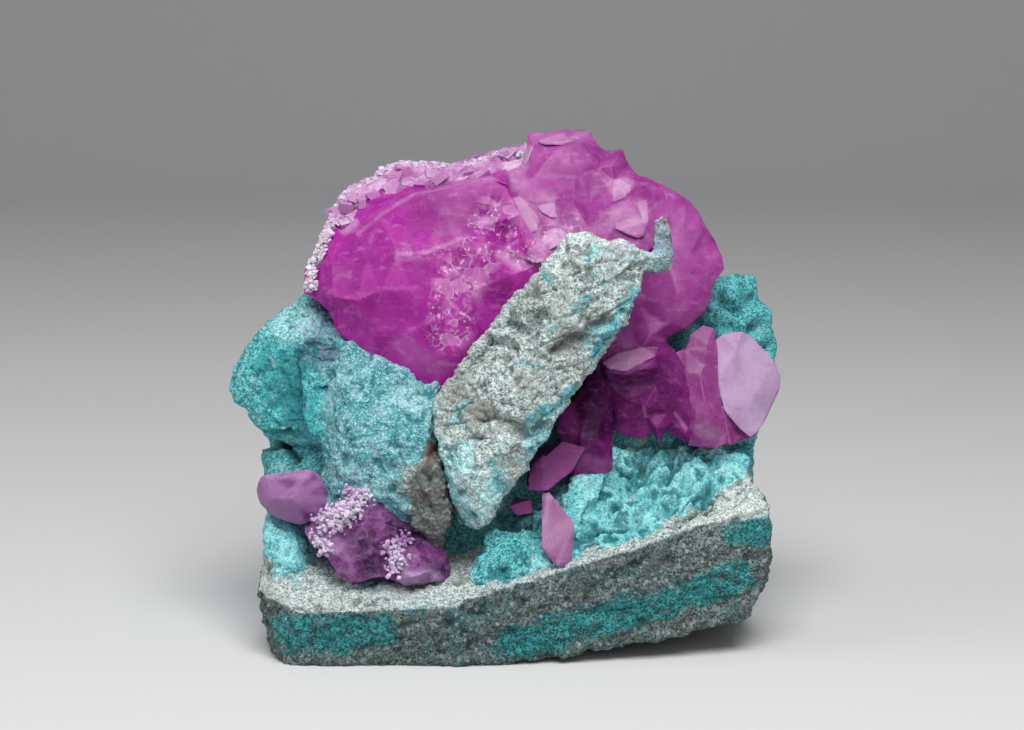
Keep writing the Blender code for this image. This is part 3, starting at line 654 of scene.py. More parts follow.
PLATE_INNER = [
    (-23.1, -3.4, 50.5), (-22.9, -5.6, 46.1), (-18.4, -5.4, 51.6), (-14.2, -7, 52.1),
    (-10.6, -7.6, 52.0), (-6.0, -7.2, 53.6), (-16.5, -8.8, 47.3), (-9.9, -10, 43.5),
    (-12.3, -9, 47.6), (-7.8, -9.2, 48.3), (-4.7, -9, 47.3), (-1.8, -8.2, 51.2), (-3.1, -6, 55.6),
    (0.1, -5, 54.7), (-8.7, -5, 57.1), (-13.4, -4.8, 55.5), (-19.7, -7.6, 45.8),
    (-5.7, -10.2, 40.5), (-13.6, -9.2, 41.6), (0.1, -7, 51.5), (0.8, -8.4, 49.5),
    (-8.6, -10.2, 38.8), (-17.6, -7.8, 41.7),
]
STRIP_OUTLINE = [
    (-23.2, 3.2, 55.0), (-21.7, 4, 56.6), (-20.3, 4.6, 57.2), (-18.4, 5.6, 58.8),
    (-16.4, 6, 59.5), (-14.1, 6.4, 59.7), (-10.3, 6.4, 59.6), (-6.9, 6.4, 60.2),
    (-3.5, 6.4, 60.9), (0.2, 6, 62.0), (0.3, -2.6, 60.6), (-1.1, -2.6, 61.2), (-6.4, -2.8, 60.2),
    (-10.7, -2.8, 59.3), (-14.3, -2.8, 57.8), (-16.8, -2.8, 56.2), (-20.1, -2.2, 53.3),
    (-22.0, 1.2, 53.7),
]
STRIP_INNER = [
    (-19.5, 0.2, 55.4), (-17.6, 1.8, 57.4), (-18.0, 3.2, 58.0), (-14.9, 2.2, 58.7),
    (-11.5, 2.6, 59.4), (-7.7, 1.8, 60.1), (-3.4, 1.6, 60.8),
]
CREST_OUTLINE = [
    (3.0, 8, 66.6), (5.5, 8, 66.7), (8.1, 8, 67.1), (11.4, 7.5, 67.1), (12.8, 6, 64.9),
    (14.1, 6, 64.2), (15.9, 6, 64.6), (16.7, 5, 62.7), (17.9, 4.5, 61.1), (19.5, 4, 60.8),
    (20.8, 3.5, 60.1), (22.1, -1, 56.5), (20.7, -4, 53.3), (17.7, -6, 51.7), (12.4, -7.4, 51.9),
    (9.1, -8, 51.7), (6.1, -8, 51.1), (3.5, -7.8, 50.9), (-0.2, -6.4, 52.5), (-0.7, -3, 56.6),
    (-0.8, 0.5, 59.7), (-1.2, 2, 61.0), (0.3, 3, 62.1), (1.4, 3, 62.5), (2.3, 3.5, 63.3),
    (2.6, 5, 64.6),
]
CREST_INNER = [
    (3.7, 3.5, 65.4), (6.9, 2, 65.2), (10.2, 3, 65.9), (3.4, 1.4, 62.8), (3.7, 0.2, 61.5),
    (7.2, -2.6, 59.1), (9.4, 0.2, 61.5), (11.2, -1.4, 58.4), (12.6, 2, 62.5), (14.0, 1.2, 62.8),
    (14.1, -2.6, 58.3), (14.2, -5, 55.3), (17.3, 2.8, 60.6), (17.2, 1, 59.8), (19.0, 0.2, 58.6),
    (18.9, -3.2, 55.8), (17.1, -4.6, 53.9), (20.1, -0.6, 57.3), (5.1, -2.8, 57.5),
    (7.6, -5, 56.1), (11.0, -5, 55.3), (3.4, -2.2, 58.2), (1.2, -1.8, 58.9), (0.3, -1, 57.2),
    (4.6, -4.6, 55.5), (4.0, -6.4, 53.3), (2.4, -4.6, 54.1), (6.1, -6.2, 53.3), (8.8, -6, 54.1),
    (9.1, -3.4, 58.1), (14.4, 1, 61.0),
]
DISC_OUTLINE = [
    (19.8, 5, 60.4), (21.1, 5, 60.0), (22.9, 4.5, 59.2), (24.9, 4, 57.9), (26.1, 3.2, 56.4),
    (27.0, 2.4, 54.6), (28.2, 1.5, 52.8), (29.1, 0.6, 50.8), (29.4, 0, 49.1), (27.8, -1, 47.1),
    (27.6, -1.6, 45.3), (26.7, -2.4, 43.6), (24.6, -3, 41.8), (21.9, -3.6, 40.4),
    (21.1, -4.4, 39.6), (19.2, -5.2, 39.2), (17.9, -5.8, 38.8), (15.2, -6, 38.0),
    (12.5, -6, 37.2), (10.7, -5, 38.9), (11.2, -4, 45.5), (13.9, -2, 51.9), (16.9, 1, 56.3),
]
DISC_INNER = [
    (22.3, 1.5, 56.6), (24.3, 2.4, 57.6), (26.3, 0.2, 54.1), (24.6, -2, 51.3), (21.6, -3, 50.4),
    (27.8, -0.8, 50.1), (26.0, -3, 48.0), (19.5, -3, 48.0), (22.9, -4.8, 46.4),
    (20.5, -4.4, 45.3), (17.9, -3.8, 44.8), (25.0, -4.4, 44.9), (21.3, -5.2, 42.2),
    (19.2, -5.8, 40.9), (16.8, -4.6, 41.5), (15.2, -5.4, 39.4), (18.6, -1.2, 53.8),
    (23.9, -0.2, 54.4), (27.0, -2.6, 45.9),
]
CLUSTER_OUTLINE = [
    (12.4, -6.6, 37.4), (14.9, -6.2, 38.8), (18.6, -6, 39.8), (21.0, -5.6, 40.4),
    (22.7, -5.4, 39.0), (23.8, -6.2, 37.0), (24.5, -7.2, 33.2), (25.3, -7.8, 29.3),
    (25.3, -8.2, 26.5), (23.2, -8, 27.2), (21.4, -8, 28.4), (20.3, -8.4, 27.1), (19.3, -8, 28.4),
    (18.5, -8, 27.6), (15.9, -7.6, 27.8), (14.1, -7.4, 28.7), (13.3, -7.4, 35.0),
]
CLUSTER_INNER = [
    (13.1, -8.4, 36.7), (15.7, -9.4, 36.3), (17.8, -9.4, 37.0), (19.7, -8.4, 38.2),
    (20.7, -7.2, 38.7), (15.8, -7.2, 35.0), (18.5, -7.2, 35.5), (20.5, -8.2, 37.2),
    (22.8, -7, 37.5), (23.0, -8.8, 34.7), (22.6, -9.2, 33.1), (19.9, -7.8, 34.6),
    (17.8, -8, 33.6), (16.1, -8.4, 32.8), (18.3, -9.6, 32.3), (21.3, -8.8, 31.3),
    (18.5, -8.6, 30.7), (19.9, -10, 29.2), (16.9, -8.2, 29.9), (22.3, -8.6, 29.6),
    (23.6, -9, 28.4), (14.8, -8, 31.2), (20.5, -5.8, 39.3),
]
UPRIGHT_OUTLINE = [
    (22.5, -5, 38.5), (23.8, -4.8, 39.0), (24.3, -4.6, 39.7), (24.6, -4.2, 40.9),
    (26.3, -3.8, 42.1), (27.8, -3.8, 41.7), (28.2, -4.4, 39.5), (28.5, -6.4, 34.4),
    (29.4, -7.8, 28.6), (29.4, -8, 26.8), (27.7, -8.2, 26.1), (25.8, -8.2, 26.3),
    (24.2, -8.2, 26.5), (23.9, -7.6, 29.9), (23.4, -6.8, 33.8), (22.9, -5.8, 36.6),
]
UPRIGHT_INNER = [
    (26.5, -6.2, 37.1), (25.8, -6.8, 36.1), (24.2, -6.6, 36.1), (26.4, -8.4, 32.8),
    (25.2, -8.6, 31.5), (27.4, -9, 30.2), (26.7, -5, 39.6), (24.8, -9, 28.4), (27.9, -7, 33.6),
]
FROSTED_OUTLINE = [
    (27.7, -3.2, 39.7), (29.0, -2.4, 40.6), (30.5, -1.8, 40.9), (31.7, -1.6, 40.9),
    (33.1, -1, 40.1), (34.9, -0.6, 38.2), (36.3, -0.4, 36.5), (37.2, -0.4, 34.6),
    (37.0, -0.8, 32.7), (36.0, -1.8, 30.8), (35.0, -3, 29.0), (33.8, -4.6, 27.7),
    (32.7, -6, 27.2), (31.2, -6.8, 28.5), (29.2, -7, 30.8), (28.1, -6.2, 34.4),
]
FROSTED_INNER = [
    (32.0, -3, 36.9), (33.2, -4.2, 32.5), (35.4, -1.8, 35.1), (30.3, -5, 34.6),
    (30.9, -3.2, 38.6),
]
RIM_OUTLINE = [
    (-24.7, 1.2, 53.1), (-23.9, 2.6, 54.6), (-24.0, 3.6, 55.5), (-22.9, 5.4, 57.1),
    (-22.5, 6.8, 58.4), (-21.2, 8, 59.4), (-19.5, 8.6, 59.6), (-18.0, 10, 60.8),
    (-16.5, 11.5, 61.7), (-14.6, 12.5, 62.2), (-12.9, 12.5, 61.8), (-10.5, 13, 62.1),
    (-9.1, 12.5, 61.6), (-7.0, 13, 61.9), (-4.9, 13, 62.0), (-3.8, 13.5, 62.9),
    (-2.2, 13.5, 63.1), (-0.9, 14, 64.1), (0.8, 13.5, 64.0), (2.8, 12, 65.0), (3.8, 7, 63.0),
    (1.4, 4, 60.1), (-0.8, 4.6, 60.0), (-4.8, 5.4, 59.7), (-10.3, 5.2, 58.6), (-14.3, 5.2, 58.7),
    (-16.3, 5, 58.5), (-18.1, 4.6, 57.9), (-19.7, 3.6, 56.5), (-20.4, 0.9, 54.0),
    (-21.4, 0.6, 52.9), (-22.6, 2.2, 54.3), (-23.6, 1.4, 53.2),
]
RIM_INNER = [
    (-22.4, 3.8, 55.9), (-20.8, 4.6, 57.9), (-18.7, 5.8, 59.3), (-16.4, 7.2, 60.4),
    (-14.1, 7.2, 60.4), (-13.8, 9.6, 61.5), (-11.8, 5.8, 60.0), (-10.6, 8.4, 61.2),
    (-8.2, 9.4, 61.5), (-8.9, 5.8, 60.2), (-6.6, 6.4, 60.5), (-5.4, 8.8, 61.5), (-3.1, 8.8, 61.7),
    (-1.9, 10.2, 62.6), (0.0, 10.2, 63.0), (0.8, 7, 62.1), (-21.1, 2.6, 55.5), (-20.0, 5.6, 58.8),
    (-15.3, 9.8, 61.4), (-3.9, 6.8, 60.9), (-21.6, 5, 57.0), (-14.9, 5.4, 59.7),
    (-10.9, 4.8, 59.3), (-5.2, 5.6, 60.3), (-20.1, 1.8, 55.2),
]
DRUSE_OUTLINE = [
    (-26.3, -12, 17.3), (-24.8, -11.6, 20.0), (-22.9, -12.4, 19.5), (-21.4, -12.6, 20.7),
    (-19.8, -12.8, 21.6), (-17.5, -13, 21.9), (-14.9, -13, 21.1), (-13.6, -13.4, 19.6),
    (-12.8, -14, 17.8), (-10.6, -14.4, 16.8), (-8.6, -14.8, 15.3), (-7.4, -15.4, 13.4),
    (-7.0, -16.4, 11.4), (-7.8, -17.4, 10.4), (-10.5, -18.4, 10.0), (-13.1, -19.2, 10.1),
    (-14.6, -19.6, 11.1), (-16.3, -19.8, 11.6), (-18.1, -20, 11.0), (-20.1, -20, 10.7),
    (-21.7, -19.2, 11.4), (-22.8, -18, 13.1), (-24.2, -17, 14.5), (-25.7, -15.4, 15.0),
    (-26.6, -13.6, 16.1),
]
DRUSE_INNER = [
    (-24.4, -14, 17.8), (-24.8, -15, 16.0), (-23.0, -14.6, 18.6), (-22.2, -16.6, 17.1),
    (-20.7, -15.6, 19.8), (-20.0, -17, 18.5), (-18.7, -16, 20.3), (-18.3, -17, 18.8),
    (-16.9, -15.4, 21.1), (-15.7, -15.4, 19.2), (-20.2, -18.8, 16.3), (-20.8, -19.4, 14.0),
    (-18.1, -18.8, 17.6), (-17.2, -20.2, 15.5), (-18.8, -20.8, 13.0), (-15.7, -16.8, 17.1),
    (-15.0, -18.2, 15.1), (-15.7, -20, 13.2), (-13.8, -16.2, 16.3), (-13.0, -18.6, 14.6),
    (-13.9, -19.6, 13.1), (-11.8, -17.4, 15.3), (-10.5, -16.4, 15.7), (-11.1, -19.2, 13.7),
    (-9.6, -17.6, 14.0), (-8.5, -18.6, 12.5), (-10.0, -20.4, 12.4), (-12.1, -21, 11.8),
    (-9.0, -19, 11.0), (-14.5, -14.8, 18.3), (-12.5, -15.4, 16.8),
]
GLOOM_OUTLINE = [
    (12.9, -6.6, 37.8), (13.6, -7.6, 35.3), (14.2, -8.2, 32.7), (14.3, -9, 28.9),
    (14.1, -10.6, 23.8), (13.0, -11.2, 23.2), (10.9, -11.8, 23.8), (8.9, -12, 23.3),
    (7.9, -12, 26.5), (6.6, -11, 29.3), (7.2, -10, 31.1), (9.2, -9, 33.2), (10.6, -8, 35.4),
    (11.4, -7, 37.4),
]
GLOOM_INNER = [
    (12.5, -9, 34.9), (13.0, -10.2, 31.8), (11.1, -10, 33.1), (12.2, -11.4, 29.1),
    (9.8, -11.6, 28.7), (13.2, -12, 26.1), (10.8, -12.6, 26.2),
]
LOW_TABLET = [
    (2.6, -14, 24.5), (7.5, -13, 28.4), (10.8, -13.6, 27.6), (9.1, -14.6, 24.2),
    (5.6, -15.6, 21.8), (2.5, -15.4, 21.6), (4, -7, 26), (9, -7, 26), (8, -8, 22),
    (3, -8, 21.4),
]
PINK_WEDGE = [
    (28.6, -7.2, 32), (30.6, -5, 30.5), (33.6, -4, 26.8), (30, -7, 26.3), (28.8, -7.4, 26.6),
    (29, 0, 31), (32.4, 0, 27),
]
KNOB_CRYSTAL = [
    (-33.8, -8, 20.5), (-32.9, -7, 22.4), (-26, -8, 23.5), (-23.8, -10, 22.3),
    (-22.2, -11.6, 19.8), (-23.4, -13, 18), (-27.1, -13.6, 16.8), (-30, -12.6, 17.4),
    (-33, -10, 18.8), (-28.2, -15.4, 21.2), (-30.8, -14, 20.6), (-30, -3, 21),
    (-25, -3, 21), (-27, -4, 18),
]
BLADE = [
    (4.6, -16.8, 22), (5.8, -16.8, 22.3), (9, -18.8, 18.6), (8.7, -21.2, 12.7),
    (6.5, -21.4, 13.3), (4.5, -20.2, 15.7), (5.4, -14.6, 21.6), (8.6, -16.4, 18),
    (8.2, -18.6, 13), (5.2, -17.6, 15),
]
SLIVER = [
    (0.1, -15.2, 20), (3.4, -13.6, 20.6), (3.7, -14.4, 18.8), (1.4, -15.4, 18.6),
    (1.2, -10, 20), (3, -10, 19),
]

# What fills the crown behind its seen sides
CROWN_HEART = [
    (-9, 3, 42), (-7, 12, 42), (-8, 4, 55), (-6, 12.5, 54), (4, 1, 56), (5, 13, 57), (15, 3, 56),
    (15, 12.5, 55), (19, 4, 46), (18, 12, 45), (14, 4, 41), (12, 13, 41), (2, 13.5, 43),
]

# Thin facets and blades that lie on the crown, and the lip over the shaded cluster: how far each is
# sunk in what it lies on, and its front corners
# The crown's facets are given a paler calcite, mostly as painted highlight on facets that catch the light.
TABLETS = {
    "lens": (0.3, [
        (14.2, 0.2, 61.1), (15.3, 0.6, 61.3), (16.8, 0.8, 60.4), (17.0, 0.2, 59.7),
        (16.3, -1.2, 58.9), (14.5, -3, 58.2), (14.1, -3.2, 58.4),
    ]),
    "broad facet": (0.5, [
        (14.4, -3, 57.7), (16.5, -2, 58.1), (19.0, -0.8, 58.6), (19.1, -3.6, 56.1),
        (18.5, -5.2, 54.2), (17.5, -5.6, 53.7), (14.3, -5.8, 55.1),
    ]),
    "fold": (0.9, [
        (2.1, 2.4, 63.0), (3.5, 2.8, 65.6), (3.9, 2.4, 65.1), (2.7, 0.8, 62.6),
    ]),
    "left blade": (0.7, [
        (-0.1, -2.4, 58.7), (1.8, -2.6, 59.2), (3.6, -3.2, 58.1), (4.7, -5, 56.1), (4.4, -6, 54.7),
        (3.0, -6, 54.1), (1.1, -4.2, 56.0), (-0.1, -3, 57.5),
    ]),
    "middle facet": (1.05, [
        (3.6, -3, 58.3), (5.4, -3.5, 58.1), (7.2, -3.3, 59.2), (7.6, -5.6, 56.3), (5.9, -5.4, 56.5),
        (4.6, -4.4, 57.2),
    ]),
    "low facet": (1.15, [
        (4.0, -7, 53.8), (6.1, -6.1, 55.4), (8.0, -6, 55.9), (9.3, -6.6, 54.8), (7.4, -7.8, 53.2),
        (5.7, -8.4, 52.4), (4.3, -7.8, 53.0),
    ]),
    "top band": (0.4, [
        (3.4, 7.4, 66.1), (5.7, 7.2, 66.5), (8.2, 7.2, 67.0), (11.1, 6.6, 66.9), (10.5, 3, 66.0),
        (6.9, 2, 65.3), (4.1, 3.2, 65.6),
    ]),
    "lip": (0.8, [
        (12.5, -8.6, 37.7), (14.8, -8, 38.9), (17.8, -7.6, 39.6), (20.4, -7.4, 39.6),
        (20.0, -8.8, 38.5), (17.8, -9.8, 37.2), (15.7, -9.9, 36.5), (13.4, -9.4, 36.9),
    ]),
}

# Small crystals along the crown's upper left rim: how many, and the line they are strewn along
RIM_GRAINS = 2800
RIM_LINE = [
    (-26.4, -0.6, 47.4), (-26.1, -0.3, 49.4), (-25.0, 0.4, 52.0), (-23.9, 2.6, 54.4), (-22.8, 6, 57.2),
    (-21.3, 8.6, 58.9), (-19.4, 9.2, 59.2), (-17.9, 10.6, 60.5), (-16.4, 12, 61.4),
    (-14.6, 13, 61.9), (-10.5, 13.4, 61.7), (-7.0, 13.4, 61.4), (-5.0, 13.6, 61.7),
    (-3.7, 14, 62.4), (-2.2, 13.6, 62.7), (-0.9, 13.4, 63.4), (0.8, 12.8, 63.4), (2.0, 11.6, 63.6),
]

# Small pale crystals on the druse
PALE_LUMPS = [
    (-24.0, -15.4, 17.6), (-22.9, -16, 18.7), (-21.8, -16.6, 19.3), (-20.9, -17, 20.1),
    (-19.9, -17.6, 19.4), (-21.1, -18, 18.5), (-22.4, -17.2, 17.6), (-19.4, -17, 20.8),
    (-18.4, -16.6, 21.5), (-24.4, -16.2, 15.5), (-23.4, -17.6, 14.8), (-20.3, -15.6, 21.3),
    (-14.7, -19.4, 15.1), (-13.9, -20.2, 13.9), (-14.3, -20.6, 12.7), (-13.2, -18.4, 15.8),
]

# Broken, pale and deep parts of the crystals from the front: strength, inner width, outer width, path.
# Some pale parts are painted highlights and glints; the deep parts are partly the crystals' darker
# colour and partly painted shade.
BROKEN_PLACES = [
    (1.0, 1.6, 4.6, [(-1.6, 55.6), (-3.8, 51.2), (-6.6, 46.8), (-7.6, 40.7)]),
    (1.0, 1.2, 3.0, [(-0.1, 53.6), (3.2, 50.6)]),
    (0.8, 0.8, 2.4, [(5.5, 53.2), (9.0, 54.5)]),
    (0.5, 0.4, 1.6, [(-14.6, 51.0), (-10.9, 51.0), (-6.2, 52.6)]),
]
PALE_AND_HIGHLIT_PLACES = [
    (0.5, 0.5, 1.8, [(-6.8, 47.5), (-4.1, 46.1)]),
    (0.9, 0.4, 1.6, [(-0.1, 50.9), (1.9, 49.9)]),
    # Painted highlight along the crest's top band.
    (0.25, 0.2, 1.2, [(4.0, 66.5), (11.0, 67.2)]),
    (0.9, 0.2, 1.1, [(-27.0, 46.8), (-26.1, 49.9), (-25.1, 52.6)]),
    (0.9, 0.3, 1.2, [(-21.7, 54.5), (-20.7, 55.3)]),
    (0.5, 0.6, 1.8, [(1.4, 57.2), (4.0, 53.4)]),
    (0.4, 0.6, 1.8, [(5.3, 58.3), (6.3, 55.3)]),
    (0.7, 0.4, 1.4, [(5.3, 52.2), (8.0, 54.0)]),
    (0.6, 0.9, 2.2, [(15.7, 56.2), (18.1, 56.9)]),
    (0.9, 0.5, 1.5, [(14.8, 60.0), (16.1, 60.4)]),
    (0.7, 0.4, 1.6, [(1.0, 63.0), (1.8, 60.6)]),
    (0.7, 0.2, 0.9, [(2.2, 62.6), (3.2, 65.2)]),
    (0.6, 0.3, 1.2, [(14.8, 35.7), (18.1, 36.4)]),
    (0.2, 0.5, 2.2, [(-14.3, 38.7), (-8.9, 35.6)]),
    (0.8, 0.05, 0.45, [(-14.6, 51.0), (-10.9, 51.2), (-6.2, 53.0)]),
    (0.8, 0.3, 1.1, [(-31.8, 21.3), (-27.0, 21.2)]),
    (1.0, 0.8, 1.9, [(-23.7, 15.1), (-20.7, 16.7), (-19.0, 18.0)]),
    (0.7, 0.8, 2.2, [(-25.3, 13.0), (-23.7, 11.7)]),
    (0.9, 0.5, 1.5, [(-13.6, 7.2), (-9.5, 7.2)]),
    (1.0, 0.4, 1.2, [(-14.9, 10.3), (-14.0, 8.9)]),
    # Painted highlight along the great plate's ridge.
    (0.5, 0.05, 0.4, [(-20.1, 53.7), (-16.6, 56.6), (-12.4, 59.0), (-6.4, 60.3), (-1.2, 61.1)]),
    # These two are painted glints on the shaded cluster.
    (1.0, 0.05, 0.35, [(18.6, 30.4), (18.9, 29.0)]),
    (1.0, 0.05, 0.4, [(22.9, 29.4), (24.4, 27.4)]),
    (0.4, 0.3, 1.4, [(26.6, 27.0), (28.6, 26.4)]),
    (0.5, 0.5, 1.8, [(10.5, 22.8), (13.5, 22.2)]),
]
# Partly painted shade: these darken the crystals towards their dark colour, partly for their own darker
# colour.
DARK_AND_SHADED_PLACES = [
    (0.6, 1.0, 4.6, [(-10.2, 56.6), (-3.6, 56.8)]),
    (0.3, 1.0, 3.4, [(-18.0, 44.8), (-14.3, 43.4)]),
    (0.35, 0.4, 1.8, [(8.0, 62.6), (9.0, 60.3)]),
    (0.45, 0.8, 3.2, [(15.4, 38.0), (18.1, 43.2)]),
    (1.0, 2.2, 4.0, [(11.7, 33.3), (12.5, 28.6)]),
    (0.4, 1.0, 3.2, [(16.1, 32.0), (20.8, 31.3)]),
    (1.0, 0.9, 3.0, [(-19.4, 12.4), (-18.0, 9.7)]),
    (1.0, 0.5, 2.2, [(-14.9, 13.7), (-12.2, 12.6)]),
    (0.9, 0.4, 1.7, [(-10.2, 9.4), (-8.6, 8.3)]),
    (0.5, 0.4, 1.6, [(19.0, 52.4), (20.6, 52.6)]),
    (0.5, 0.5, 2.0, [(16.0, 33.9), (19.2, 34.2)]),
    (0.8, 1.2, 3.0, [(3.5, 22.5), (6.5, 25.5), (11.5, 23.8)]),
]

# Size and strength of the faces let in where a crystal is broken
BREAKS = ((2.0, 0.34), (0.9, 0.3))
# How much smaller than its outline a seen crystal's rear is
REAR_SHARE = 0.8
# How far a calcite edge leans from the crystal's axis, and how thick the thin facets are
EDGE_LEAN = math.radians(62)
TABLET_THICK = 2.5


def set_crystal_masks(mesh, points, tone, edge, broken):
    """The masks that the calcite reads: each face's own tone, edges lightened as painted highlights,
    broken parts, pale parts, some of them painted highlights, and deep parts, partly painted shade.
    """
    seen = seen_from_front(points)
    set_mask(mesh, "tone", tone)
    set_mask(mesh, "edge", edge)
    set_mask(mesh, "broken", broken)
    set_mask(mesh, "pale", near_paths(seen, PALE_AND_HIGHLIT_PLACES))
    set_mask(mesh, "deep", near_paths(seen, DARK_AND_SHADED_PLACES))


def finish_crystal(mesh, points, tone, edge, faces, broken, seed):
    """A crystal's relief and masks. Smaller faces, given as size and strength, are bowls that meet in
    ridges, and more and finer ones are let in where it is broken."""
    normals = normals_of(mesh)
    relief = 0.1 * layered_noise(points, 5.0, 2, seed=seed + 3) - 0.1
    if faces:
        size, strength = faces
        dip, gap, own = bowls(points, size, 0.5, 0.3, seed=seed + 5)
        relief = relief + strength * size * dip
        tone = 0.5 * tone + 0.5 * own
        # Painted highlight: the ridges between the smaller faces count as edges to be lightened.
        edge = np.maximum(edge, 0.4 * (1 - ramp(gap, 0, 0.16 / size)))
    breaks = np.clip(broken + near_paths(seen_from_front(points), BROKEN_PLACES), 0, 1)
    breaks = breaks * ramp(-normals[:, 1], -0.5, 0.1)
    for size, strength in BREAKS:
        dip, gap, own = bowls(points, size, 0.6, 0.3, seed=seed + 9)
        relief = relief + breaks * strength * size * dip
        tone = tone * (1 - 0.4 * breaks) + 0.4 * breaks * own
        # Painted highlight: the ridges between the broken faces count as edges to be lightened.
        edge = np.maximum(edge, breaks * (1 - ramp(gap, 0, 0.12 / size)) * ramp(own, 0.3, 0.7))
    set_points(mesh, points + normals * relief[:, None])
    set_crystal_masks(mesh, points, tone, edge, breaks)
    shade_smooth(mesh)


def grow_crystal(name, corners, grid, sharpness=50, faces=None, broken=0.0, seed=0):
    """A crystal as a surface of two angles: middle + reach x direction over its flat sides. Each side
    has its own tone."""
    middle, normal, height = face_planes(corners)
    directions, grid_faces = sphere_grid(*grid)
    reach, shares = reach_of(directions, normal, height, sharpness)
    points = middle + reach[:, None] * directions
    crystal = mesh_object(name, points, grid_faces)
    tone = shares @ np.random.default_rng(seed + 50).uniform(0, 1, len(height))
    # Painted highlight: points near the edges between the flat sides count as edges to be lightened.
    edge = 2 * (1 - np.sum(shares ** 2, axis=1))
    finish_crystal(crystal.data, points, tone, edge, faces, broken, seed)
    return crystal


def front_triangles(outline, inner, rear):
    """Triangles between the corners as the front shows them, then walls from the outline back to a
    smaller ring at the rear depth, and that ring closed round its middle."""
    corners = np.array(outline + inner, float)
    count, first = len(outline), len(corners)
    flat = [Vector(place) for place in seen_from_front(corners)]
    made = delaunay_2d_cdt(flat, [], [list(range(count))], 1, 1e-6)
    given = [found[0] for found in made[3]]
    triangles = [[given[corner] for corner in face] for face in made[2]]
    middle = corners[:count].mean(axis=0)
    ring = middle + REAR_SHARE * (corners[:count] - middle)
    ring[:, 1] = rear
    for here in range(count):
        after = (here + 1) % count
        triangles.append([here, after, first + after])
        triangles.append([here, first + after, first + here])
        triangles.append([first + here, first + after, first + count])
    corners = np.concatenate([corners, ring, [ring.mean(axis=0) + [0, 1, 0]]])
    return corners, np.array(triangles)


def seen_crystal(name, outline, inner, rear, steps, faces=None, broken=0.0, seed=0):
    """A crystal whose seen side is flat facets between listed corners. Each triangle is a grid of
    points: i/n x first + j/n x second + (n - i - j)/n x third corner. Points that triangles share
    are one point, found by their corners and shares. Each facet has its own tone."""
    corners, triangles = front_triangles(outline, inner, rear)
    share = [(i, j, steps - i - j) for i in range(steps + 1) for j in range(steps + 1 - i)]
    row = {pair[:2]: number for number, pair in enumerate(share)}
    share = np.array(share)
    upright = [(row[i, j], row[i + 1, j], row[i, j + 1]) for i, j in row if i + j < steps]
    turned = [(row[i + 1, j], row[i + 1, j + 1], row[i, j + 1]) for i, j in row if i + j < steps - 1]
    points = np.einsum("sk,tkc->tsc", share / steps, corners[triangles]).reshape(-1, 3)
    owner = np.where(share[None] > 0, triangles[:, None, :], -1)
    order = np.argsort(owner, axis=2)
    parts = np.broadcast_to(share[None], owner.shape)
    owner, parts = np.take_along_axis(owner, order, 2), np.take_along_axis(parts, order, 2)
    key = np.concatenate([owner, parts], axis=2).reshape(len(points), 6)
    kept, where = np.unique(key, axis=0, return_index=True, return_inverse=True)[1:]
    where = where.ravel()
    pattern = np.array(upright + turned)[None] + len(share) * np.arange(len(triangles))[:, None, None]
    grid_faces = where[pattern.reshape(-1, 3)]
    crystal = mesh_object(name, points[kept], grid_faces.tolist())
    turn_outward(crystal.data)
    own = np.random.default_rng(seed + 50).uniform(0, 1, len(triangles))
    tone = np.bincount(where, np.repeat(own, len(share))) / np.bincount(where)
    finish_crystal(crystal.data, points[kept], tone, np.zeros(len(tone)), faces, broken, seed)
    return crystal


def make_tablet(name, sunk, outline, seed):
    """A thin crystal: its front corners, sunk in what it lies on, and the same corners farther back."""
    front = np.array(outline) + [0, sunk, 0]
    corners = np.concatenate([front, front + [0, TABLET_THICK, 0]])
    return grow_crystal(name, corners, (36, 72), sharpness=60, broken=0.1, seed=seed)


def rhombs(centres, axes, sizes, turns):
    """Small calcite rhombs: the eight sums of plus or minus half of three edges, each of which leans
    from the crystal's axis and is a third of a turn from the next."""
    count = len(centres)
    axes = axes / np.linalg.norm(axes, axis=1, keepdims=True)
    side = np.cross(axes, np.where(np.abs(axes[:, 2:3]) < 0.9, [[0, 0, 1]], [[1, 0, 0]]))
    side /= np.linalg.norm(side, axis=1, keepdims=True)
    other = np.cross(axes, side)
    edges = []
    for third in range(3):
        angle = (turns + third * math.tau / 3)[:, None]
        flat = np.cos(angle) * side + np.sin(angle) * other
        edge = math.sin(EDGE_LEAN) * flat + math.cos(EDGE_LEAN) * axes
        edges.append(edge * sizes[:, third:third + 1])
    signs = [(a, b, c) for a in (-0.5, 0.5) for b in (-0.5, 0.5) for c in (-0.5, 0.5)]
    corners = [centres + a * edges[0] + b * edges[1] + c * edges[2] for a, b, c in signs]
    points = np.stack(corners, axis=1).reshape(-1, 3)
    pattern = np.array([
        (0, 1, 3, 2), (4, 6, 7, 5), (0, 4, 5, 1), (2, 3, 7, 6), (0, 2, 6, 4), (1, 5, 7, 3),
    ])
    faces = (pattern[None] + 8 * np.arange(count)[:, None, None]).reshape(-1, 4)
    return points, faces.tolist()


def make_druse(name, centres, sizes, chance):
    """Rhombs at the centres: each edge 0.6 to 1.4 times the crystal's size, axes strewn about upright
    and a little forwards, and one tone for each crystal."""
    count = len(centres)
    axes = chance.normal(0, 0.7, (count, 3)) + [0, -0.3, 1]
    edges = sizes[:, None] * chance.uniform(0.6, 1.4, (count, 3))
    points, faces = rhombs(centres, axes, edges, chance.uniform(0, math.tau, count))
    druse = mesh_object(name, points, faces)
    turn_outward(druse.data)
    tone = np.repeat(chance.uniform(0, 1, count), 8)
    set_crystal_masks(druse.data, points, tone, np.zeros(len(points)), np.full(len(points), 0.3))
    return druse


